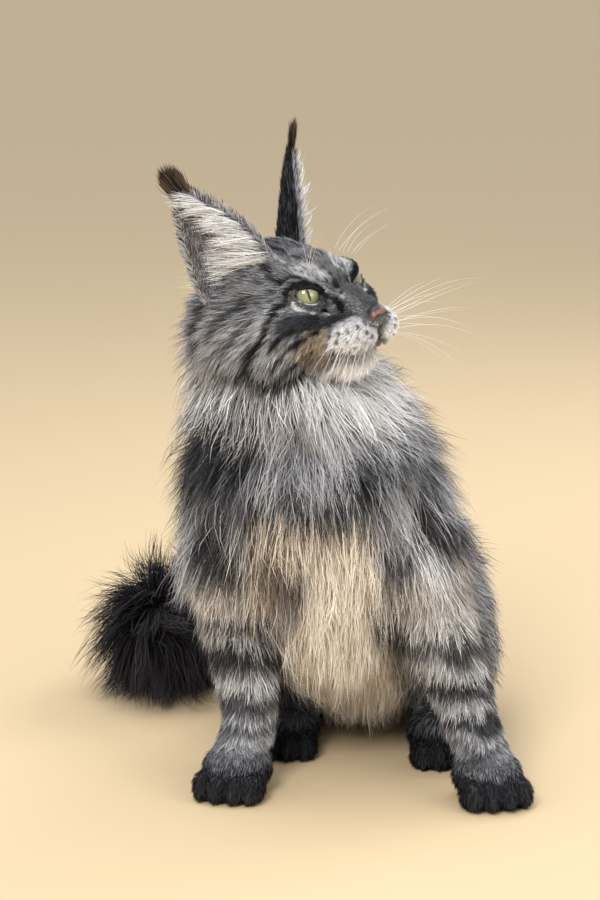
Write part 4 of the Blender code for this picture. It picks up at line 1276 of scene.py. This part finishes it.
def painted_material(name, roughness, grain_scale, grain_depth, extras, bump=0.0):
    """The painted colour with a fine, uneven grain over it."""
    made, tree, shader = principled(name, roughness)
    for socket, value in extras.items():
        shader.inputs[socket].default_value = value
    add = tree.nodes.new
    link = tree.links.new
    colour = add("ShaderNodeVertexColor")
    colour.layer_name = "coat_colour"
    where = add("ShaderNodeTexCoord")
    noise = add("ShaderNodeTexNoise")
    noise.inputs["Scale"].default_value = grain_scale
    noise.inputs["Detail"].default_value = GRAIN_DETAIL
    ramp = add("ShaderNodeMapRange")
    ramp.inputs["To Min"].default_value = 1.0 - grain_depth
    ramp.inputs["To Max"].default_value = 1.0 + grain_depth
    mix = add("ShaderNodeVectorMath")
    mix.operation = "SCALE"
    link(where.outputs["Object"], noise.inputs["Vector"])
    link(noise.outputs["Fac"], ramp.inputs["Value"])
    link(colour.outputs["Color"], mix.inputs[0])
    link(ramp.outputs["Result"], mix.inputs["Scale"])
    link(mix.outputs["Vector"], shader.inputs["Base Color"])
    if bump:
        lift = add("ShaderNodeBump")
        lift.inputs["Strength"].default_value = BUMP_STRENGTH
        lift.inputs["Distance"].default_value = bump
        link(noise.outputs["Fac"], lift.inputs["Height"])
        link(lift.outputs["Normal"], shader.inputs["Normal"])
    return made


def fur():
    return painted_material("fur", 0.62, 260.0, 0.12, {"Specular IOR Level": 0.16})


def bare_skin():
    return painted_material("skin", 0.8, 900.0, 0.25, {"Specular IOR Level": 0.2}, 0.0004)


def wet_eye():
    shine = {"Coat Weight": 1.0, "Coat Roughness": 0.02}
    return painted_material("eyeball", 0.12, 2500.0, 0.16, shine)


def nose_leather():
    return painted_material("nose_leather", 0.42, 1800.0, 0.15, {"Coat Weight": 0.2}, 0.0003)


COAT_MATERIAL = fur()
SKIN_MATERIAL = bare_skin()
EYE_MATERIAL = wet_eye()
NOSE_MATERIAL = nose_leather()


# Eyes, lids, mouth and nose


def make_eye(side):
    """An eyeball with a raised cornea; the iris, slit pupil and dark rim are painted on."""
    bm = bmesh.new()
    turn = Matrix.Rotation(math.radians(90.0), 4, "Y")
    bmesh.ops.create_uvsphere(bm, u_segments=96, v_segments=64, radius=EYE_RADIUS, matrix=turn)
    eye = object_of(f"eyeball_{SIDE_NAMES[side]}", bm)
    points = arrays_of(eye.data)[0]
    gaze = Matrix.Rotation(side * GAZE_OUTWARD, 4, "Z") @ Matrix.Rotation(-GAZE_UPWARD, 4, "Y")
    gaze = gaze @ Matrix.Rotation(-side * PUPIL_TILT, 4, "X")
    gap = np.hypot(points[:, 1], points[:, 2])
    front = points[:, 0] > 0.0
    colours = plain("charcoal", points)
    iris = (1.0 - smoothstep(IRIS_RADIUS * 0.97, IRIS_RADIUS * 1.04, gap)) * front
    colours = layer_on(colours, "iris", iris)
    colours = layer_on(colours, "iris_core", iris * smoothstep(0.0045, 0.0015, gap) * 0.7)
    colours = layer_on(colours, "iris_edge", iris * smoothstep(0.0052, 0.0074, gap) * 0.8)
    slit = np.hypot(points[:, 1] / PUPIL_HALF[0], points[:, 2] / PUPIL_HALF[1])
    colours = layer_on(colours, "black", (1.0 - smoothstep(0.85, 1.1, slit)) * front)
    bulge = CORNEA_RISE * np.clip(1.0 - (gap / (IRIS_RADIUS * 1.05)) ** 2, 0.0, 1.0) * front
    points *= 1.0 + bulge[:, None] / EYE_RADIUS
    eye.data.vertices.foreach_set("co", points.astype(np.float32).ravel())
    eye.data.transform(eye_frame(side) @ gaze)
    complete(eye, colours, EYE_MATERIAL, [f"eye_{SIDE_NAMES[side]}"])


def lid_places(side, steps=48):
    """The rim of the lids, just clear of the eyeball; negative z is the lower lid."""
    places = []
    for i in range(steps + 1):
        angle = 2.0 * math.pi * i / steps
        y = LID_HALF_WIDTH * 0.99 * math.cos(angle)
        z = LID_HALF_HEIGHTS[side] * 1.02 * math.sin(angle)
        reach = math.sqrt(max((EYE_RADIUS + RIM_CLEAR) ** 2 - y * y - z * z, 1e-8))
        places.append(eye_frame(side) @ Vector((reach, y, z)))
    return places


def make_lids(side):
    """A dark, moist rim round the opening, thicker above, where the black rim is also painted shadow
    under the upper lid.
    """
    def shadow_thickened_above(share):
        return 0.65 + 0.95 * max(0.0, math.sin(2.0 * math.pi * share))

    rim = tube(f"lid_rim_{SIDE_NAMES[side]}", lid_places(side), RIM_RADIUS, taper=shadow_thickened_above)
    points = arrays_of(rim.data)[0]
    to_eye = np.array(eye_frame(side).inverted())
    height = points @ to_eye[2, :3] + to_eye[2, 3]
    colours = layer_on(plain("black", points), "silver", smoothstep(-0.0022, -0.0042, height))
    complete(rim, colours, SKIN_MATERIAL)


def make_lips(tree):
    """Dark lips along the groove of the mouth."""

    def fuller_inside(share):
        return 0.7 + 0.5 * math.sin(math.pi * min(share * 1.1, 1.0))

    for side in (1, -1):
        places = mouth_places(side, tree, 24)
        lip = tube(f"lip_{SIDE_NAMES[side]}", places, LIP_RADIUS, taper=fuller_inside)
        colours = plain("charcoal", lip.data.vertices) * 0.8
        complete(lip, colours, NOSE_MATERIAL)


def make_nose():
    """Leather with two nostrils, shaped in the head's frame."""
    bm = bmesh.new()
    for centre, radii in NOSE_BEADS:
        add_bead(bm, centre, radii)
    nose = object_of("nose_leather", bm)
    melt(nose, 0.0005, 3)
    for side in (1, -1):
        bm = bmesh.new()
        centre = Vector((NOSTRIL_AT.x, side * NOSTRIL_AT.y, NOSTRIL_AT.z))
        turn = Matrix.Rotation(side * math.radians(38.0), 4, "Z")
        place = Matrix.Translation(centre) @ turn @ Matrix.Diagonal((*NOSTRIL_HALF, 1.0))
        bmesh.ops.create_uvsphere(bm, u_segments=24, v_segments=16, radius=1.0, matrix=place)
        combine(nose, object_of("nostril", bm), "DIFFERENCE")
    points = arrays_of(nose.data)[0]
    colours = plain("leather", points)
    edge = np.hypot(points[:, 1] / 0.0088, (points[:, 2] + 0.0080) / 0.0058)
    colours = layer_on(colours, "black", smoothstep(0.72, 1.0, edge) * 0.95)
    for side in (1, -1):
        gap = np.linalg.norm(points - (NOSTRIL_AT.x, side * NOSTRIL_AT.y, NOSTRIL_AT.z), axis=1)
        colours = layer_on(colours, "black", smoothstep(0.0034, 0.0018, gap) * 0.9)
    nose.data.transform(HEAD)
    complete(nose, colours, NOSE_MATERIAL)


# Ears


def ear_axes():
    """Of the left ear in the head's frame: up to its tip, to its front edge, out of its mouth."""
    rise = EAR_TIP - EAR_BASE
    frontward = rise.normalized().cross(EAR_FACING.normalized()).normalized() * -1.0
    facing = rise.normalized().cross(frontward).normalized()
    if facing.dot(EAR_FACING) < 0:
        facing.negate()
    return rise, frontward, facing


def ear_point(side, across, up, lift=0.0):
    """A point of the ear: across is 1 at its front edge, up is 1 at its tip, lift is to its mouth."""
    rise, frontward, facing = ear_axes()
    width = EAR_HALF_WIDTH * (1.0 - min(up, 1.0) ** 1.7) ** 0.85 + 0.0012
    bulge = 1.0 + 0.22 * math.sin(math.pi * up) * max(across, 0.0)
    depth = EAR_DEPTH * (1.0 - min(up, 1.0)) ** 0.7
    place = (
        EAR_BASE
        + rise * (up * 1.16 - 0.16)
        + frontward * (width * across * bulge)
        - facing * (depth * (1.0 - across * across) - lift)
    )
    return HEAD @ Vector((place.x, side * place.y, place.z))


def ear_spot(across, up, lift):
    """The same point on the unwrapped ear: its back on the left half, its mouth on the right."""
    start = EAR_MAP_EDGE if lift < 0.0 else 0.5 + EAR_MAP_EDGE
    half = 0.25 - EAR_MAP_EDGE
    return start + half * (across + 1.0), EAR_MAP_EDGE + (1.0 - 2.0 * EAR_MAP_EDGE) * up


def make_ear(side):
    """The ear's cupped sheet, dark behind and pale inside."""
    bm = bmesh.new()
    rows = []
    steps = range(EAR_GRID + 1)
    for j in steps:
        places = [ear_point(side, 2.0 * i / EAR_GRID - 1.0, j / EAR_GRID) for i in steps]
        rows.append([bm.verts.new(place) for place in places])
    for low, high in zip(rows, rows[1:]):
        for i in range(EAR_GRID):
            bm.faces.new((low[i], low[i + 1], high[i + 1], high[i]))
    ear = object_of(f"ear_skin_{SIDE_NAMES[side]}", bm)
    wall = ear.modifiers.new("wall", "SOLIDIFY")
    wall.thickness = EAR_WALL
    wall.offset = 0.0
    settle(ear)
    bm = bmesh.new()
    bm.from_mesh(ear.data)
    bmesh.ops.recalc_face_normals(bm, faces=bm.faces)
    bm.to_mesh(ear.data)
    bm.free()
    normals = arrays_of(ear.data)[2]
    _, _, facing = ear_axes()
    faced = normals @ np.array(HEAD.to_3x3() @ Vector((facing.x, side * facing.y, facing.z)))
    colours = plain("charcoal", normals)
    colours = layer_on(colours, "silver", smoothstep(-0.1, 0.3, faced) * 0.75)
    complete(ear, colours, SKIN_MATERIAL, [f"ear_{SIDE_NAMES[side]}"])


# A root is a place on the ear: across, up and lift
Tress = namedtuple("Tress", "root way bend facing length width colour")


def tress_strands(name, side, tresses, rng, segments=4):
    """Strands that each leave a root along a way and bend, as one piece."""
    share = np.linspace(0.0, 1.0, segments + 1)[None, :, None]
    roots = np.array([tuple(ear_point(side, *t.root)) for t in tresses])
    ways = unit(np.array([tuple(t.way) for t in tresses]))
    bends = np.array([tuple(t.bend) for t in tresses])
    length = np.array([t.length for t in tresses])[:, None, None]
    paths = roots[:, None] + (ways[:, None] * share + bends[:, None] * share**2) * length
    facings = np.repeat(np.array([tuple(t.facing) for t in tresses])[:, None], segments + 1, 1)
    width = np.array([t.width for t in tresses])
    colours = np.array([linear(t.colour) for t in tresses])[:, None] * np.ones_like(share)
    tone = 1.0 + 0.25 * rng.uniform(-1.0, 1.0, (len(tresses), 1, 1))
    left, right = ribbons(paths, unit(facings), width, rng)
    spots = np.array([ear_spot(*t.root) for t in tresses])
    uv = spots + rng.uniform(-TUFT_STRAY, TUFT_STRAY, spots.shape)
    mesh = strands_mesh(name, left, right, np.clip(colours * tone, 0.0, 1.0), uv)
    mesh.materials.append(COAT_MATERIAL)
    hand_in(new_object(name, mesh))


# Hairs of one ear: on each face, across its mouth, along its edges and at its tip
EAR_FUR_HAIRS = 5200
MOUTH_HAIRS = 1050
EDGE_HAIRS = 1800
TIP_HAIRS = 1500
SHORT_EAR_HAIR = 0.010


def ear_hair(side, rng):
    """Short hair on both faces, long pale hair across the mouth and a dark tuft at the tip."""
    _, frontward, facing = ear_axes()
    flip = Matrix.Diagonal((1.0, side, 1.0))
    turn = HEAD.to_3x3()
    facing = turn @ (flip @ facing)
    frontward = turn @ (flip @ frontward)
    up = (ear_point(side, 0.0, 0.95) - ear_point(side, 0.0, 0.05)).normalized()
    tresses = []

    def noise():
        return Vector(rng.normal(size=3))

    for _ in range(EAR_FUR_HAIRS):
        across, height = rng.uniform(-1.0, 1.0), rng.uniform(0.02, 0.99) ** 1.15
        root = (across, height, -EAR_WALL / 2)
        away = (-facing + frontward * across * 0.9).normalized()
        way = up + away * 0.18 + frontward * across * 0.25 + noise() * 0.10
        colour = "black" if rng.random() < 0.75 else "slate"
        tresses.append(Tress(root, way, up * 0.1, away, rng.uniform(0.005, 0.009), 0.0006, colour))
    for _ in range(EAR_FUR_HAIRS):
        across, height = math.sin(rng.uniform(-1.0, 1.0) * 1.5), rng.uniform(0.03, 0.97) ** 1.1
        root = (across, height, EAR_WALL / 2)
        way = up * 0.8 - frontward * across * 0.35 + facing * 0.40 + noise() * 0.12
        colour = ("slate", "grey", "silver")[int(rng.integers(3))]
        tresses.append(Tress(root, way, up * 0.1, facing, rng.uniform(0.004, 0.008), 0.0004, colour))
    for _ in range(MOUTH_HAIRS):
        height = rng.uniform(0.02, 0.88)
        inner = rng.random() < 0.70
        across = rng.uniform(0.70, 1.0) if inner else rng.uniform(-0.4, 0.5)
        root = (across, height if inner else height * 0.35, EAR_WALL / 2)
        wisp = math.sin(height * 31.0) * 0.28 + math.sin(height * 67.0) * 0.14
        sweep = up * (0.85 + wisp) - frontward * rng.uniform(0.35, 0.75)
        way = sweep + facing * rng.uniform(0.50, 0.90) + noise() * 0.07
        bend = up * 0.05 - frontward * 0.40 - facing * 0.40 + noise() * 0.06
        length = rng.uniform(0.018, 0.036) * (1.0 - 0.45 * height)
        colour = "white" if rng.random() < 0.75 else "silver"
        tresses.append(Tress(root, way, bend, facing, length, 0.00040, colour))
    for _ in range(EDGE_HAIRS):
        across = rng.choice((-1.0, 1.0)) * rng.uniform(0.97, 1.0)
        height = rng.uniform(0.02, 0.95)
        root = (across, height, 0.0)
        way = up + frontward * across * 0.35 + noise() * 0.12
        colour = "silver" if rng.random() < 0.7 else "charcoal"
        tresses.append(Tress(root, way, up * 0.1, facing, rng.uniform(0.004, 0.008), 0.0004, colour))
    short = [tress for tress in tresses if tress.length < SHORT_EAR_HAIR]
    tress_strands(f"ear_fur_{SIDE_NAMES[side]}", side, short, rng, 2)
    tresses = [tress for tress in tresses if tress.length >= SHORT_EAR_HAIR]
    for _ in range(TIP_HAIRS):
        across, height = rng.uniform(-1.0, 1.0), rng.uniform(0.91, 1.0)
        root = (across, height, 0.0)
        way = up + (frontward * (0.10 * across - 0.14) + noise() * 0.05)
        length = rng.uniform(0.012, 0.027)
        colour = "brown" if rng.random() < 0.6 else "black"
        tresses.append(Tress(root, way, frontward * 0.10, facing, length, 0.0005, colour))
    tress_strands(f"ear_hair_{SIDE_NAMES[side]}", side, tresses, rng)


# Whiskers grow from the spots in front of a place in millimetres

LAST_WHISKER = 60.0
WHISKER_RADIUS = 0.00015
BROW_RADIUS = 0.00013
BROW_HAIRS = 6


def whisker(name, root, way, bend, length, radius):
    root, way, bend = Vector(root), Vector(way).normalized(), Vector(bend)
    places = [
        HEAD @ (root + (way * t + bend * t * t) * length)
        for t in np.linspace(0.0, 1.0, 14)
    ]
    return tube(name, places, radius, 5, lambda share: max(0.08, 1.0 - share))


def make_whiskers(rng):
    """Long pale hairs from the spots of each pad and over each eye, as one piece a side."""
    for side in (1, -1):
        made = []
        for x, y, z in whisker_spots():
            if x < LAST_WHISKER:
                continue
            row = (SPOT_TOP - z) / SPOT_DEPTH
            root = (x * MM, side * y * MM, z * MM)
            lift = 0.55 - 0.8 * row if side > 0 else -0.45 - 0.5 * row
            forward = rng.uniform(0.25, 0.75) if side > 0 else rng.uniform(-0.05, 0.30)
            way = (forward, side * 1.0, lift + rng.uniform(-0.25, 0.25))
            bend = (-0.15, -side * 0.10, -0.10 - 0.35 * rng.random())
            length = rng.uniform(0.055, 0.105) if side > 0 else rng.uniform(0.040, 0.062)
            made.append(whisker("whisker", root, way, bend, length, WHISKER_RADIUS))
        for k in range(BROW_HAIRS):
            root = (0.040 + 0.002 * k, side * (0.014 + 0.002 * k), 0.031 - 0.001 * k)
            way = (0.5 + rng.uniform(-0.2, 0.3), side * rng.uniform(0.1, 0.6), 1.0)
            bend = (0.15, side * 0.15, -0.25)
            made.append(whisker("whisker", root, way, bend, rng.uniform(0.030, 0.050), BROW_RADIUS))
        bm = bmesh.new()
        for item in made:
            bm.from_mesh(item.data)
            bpy.data.objects.remove(item, do_unlink=True)
        whiskers = object_of(f"whiskers_{SIDE_NAMES[side]}", bm)
        complete(whiskers, plain("white", whiskers.data.vertices), COAT_MATERIAL)


# Floor, light and camera

CAMERA_PITCH = math.radians(12.0)
CAMERA_DISTANCE = 1.9
CAMERA_LENS = 114.0
CAMERA_TARGET = Vector((0.0, 0.0, 0.222))
FLOOR_RADIUS = 12.0
FLOOR_TINTS = [(0.74, 0.56, 0.33, 1.0), (0.78, 0.61, 0.38, 1.0)]
SKY = (0.92, 0.95, 1.0, 1.0)
SKY_STRENGTH = 0.72
WARM = (1.0, 0.99, 0.98)
NEUTRAL = (1.0, 1.0, 1.0)
LIGHT_AIM = Vector((0.0, 0.0, 0.22))
# Place, watts, side of the square and colour of each light
LIGHTS = {
    "key": ((-0.5, -1.6, 1.4), 24.0, 0.6, WARM),
    "fill": ((1.4, -1.2, 0.7), 8.0, 0.9, WARM),
    "rim": ((0.8, 1.0, 1.2), 7.0, 0.7, NEUTRAL),
    "top": ((-0.2, 0.1, 1.7), 7.0, 0.7, NEUTRAL),
}


def make_floor():
    bm = bmesh.new()
    bmesh.ops.create_circle(bm, cap_ends=True, segments=96, radius=FLOOR_RADIUS)
    floor = object_of("floor", bm)
    made, tree, shader = principled("floor", 0.85)
    noise = tree.nodes.new("ShaderNodeTexNoise")
    noise.inputs["Scale"].default_value = 1.6
    ramp = tree.nodes.new("ShaderNodeValToRGB")
    for stop, tint in zip(ramp.color_ramp.elements, FLOOR_TINTS):
        stop.color = tint
    tree.links.new(noise.outputs["Fac"], ramp.inputs["Fac"])
    tree.links.new(ramp.outputs["Color"], shader.inputs["Base Color"])
    floor.data.materials.append(made)


def make_world():
    world = bpy.data.worlds.new("studio")
    world.use_nodes = True
    background = world.node_tree.nodes["Background"]
    background.inputs["Color"].default_value = SKY
    background.inputs["Strength"].default_value = SKY_STRENGTH
    bpy.context.scene.world = world
    bpy.context.scene.view_settings.view_transform = "Standard"


def add_light(name, place, energy, size, colour):
    light = bpy.data.lights.new(name, "AREA")
    light.energy = energy
    light.size = size
    light.color = colour
    made = bpy.data.objects.new(name, light)
    made.location = place
    aim = LIGHT_AIM - Vector(place)
    made.rotation_euler = aim.to_track_quat("-Z", "Y").to_euler()
    bpy.context.scene.collection.objects.link(made)


def make_lights():
    for name, (place, energy, size, colour) in LIGHTS.items():
        add_light(name, place, energy, size, colour)


def make_camera():
    camera = bpy.data.cameras.new("camera")
    camera.sensor_width = 36.0
    camera.lens = CAMERA_LENS
    made = bpy.data.objects.new("camera", camera)
    forward = Vector((0.0, math.cos(CAMERA_PITCH), -math.sin(CAMERA_PITCH)))
    made.location = CAMERA_TARGET + SHIFT - forward * CAMERA_DISTANCE
    made.rotation_euler = forward.to_track_quat("-Z", "Y").to_euler()
    bpy.context.scene.collection.objects.link(made)
    bpy.context.scene.camera = made


# All nodes that the one skin takes the place of, and how dark it is under the hair
LEG_NODES = ["leg_front_left", "leg_front_right", "leg_hind_left", "leg_hind_right"]
FLESH_NODES = ["head", "neck", "torso", "tail_base", "tail_tip", *LEG_NODES]
SKIN_SHADE = 0.55


def main():
    """The whole cat on its floor, with one run of random numbers for all its hair."""
    rng = np.random.default_rng(SEED)
    make_camera()
    make_world()
    make_lights()
    make_floor()
    item = make_skin()
    skin = skin_record(item)
    make_lips(skin.tree)
    colours = colours_at(skin.points, skin.parts, np.zeros(len(skin.points))) * SKIN_SHADE
    complete(item, colours, SKIN_MATERIAL, FLESH_NODES)
    make_nose()
    for side in (1, -1):
        make_eye(side)
        make_lids(side)
        make_ear(side)
        ear_hair(side, rng)
    make_whiskers(rng)
    grow_coat(skin, rng)


main()
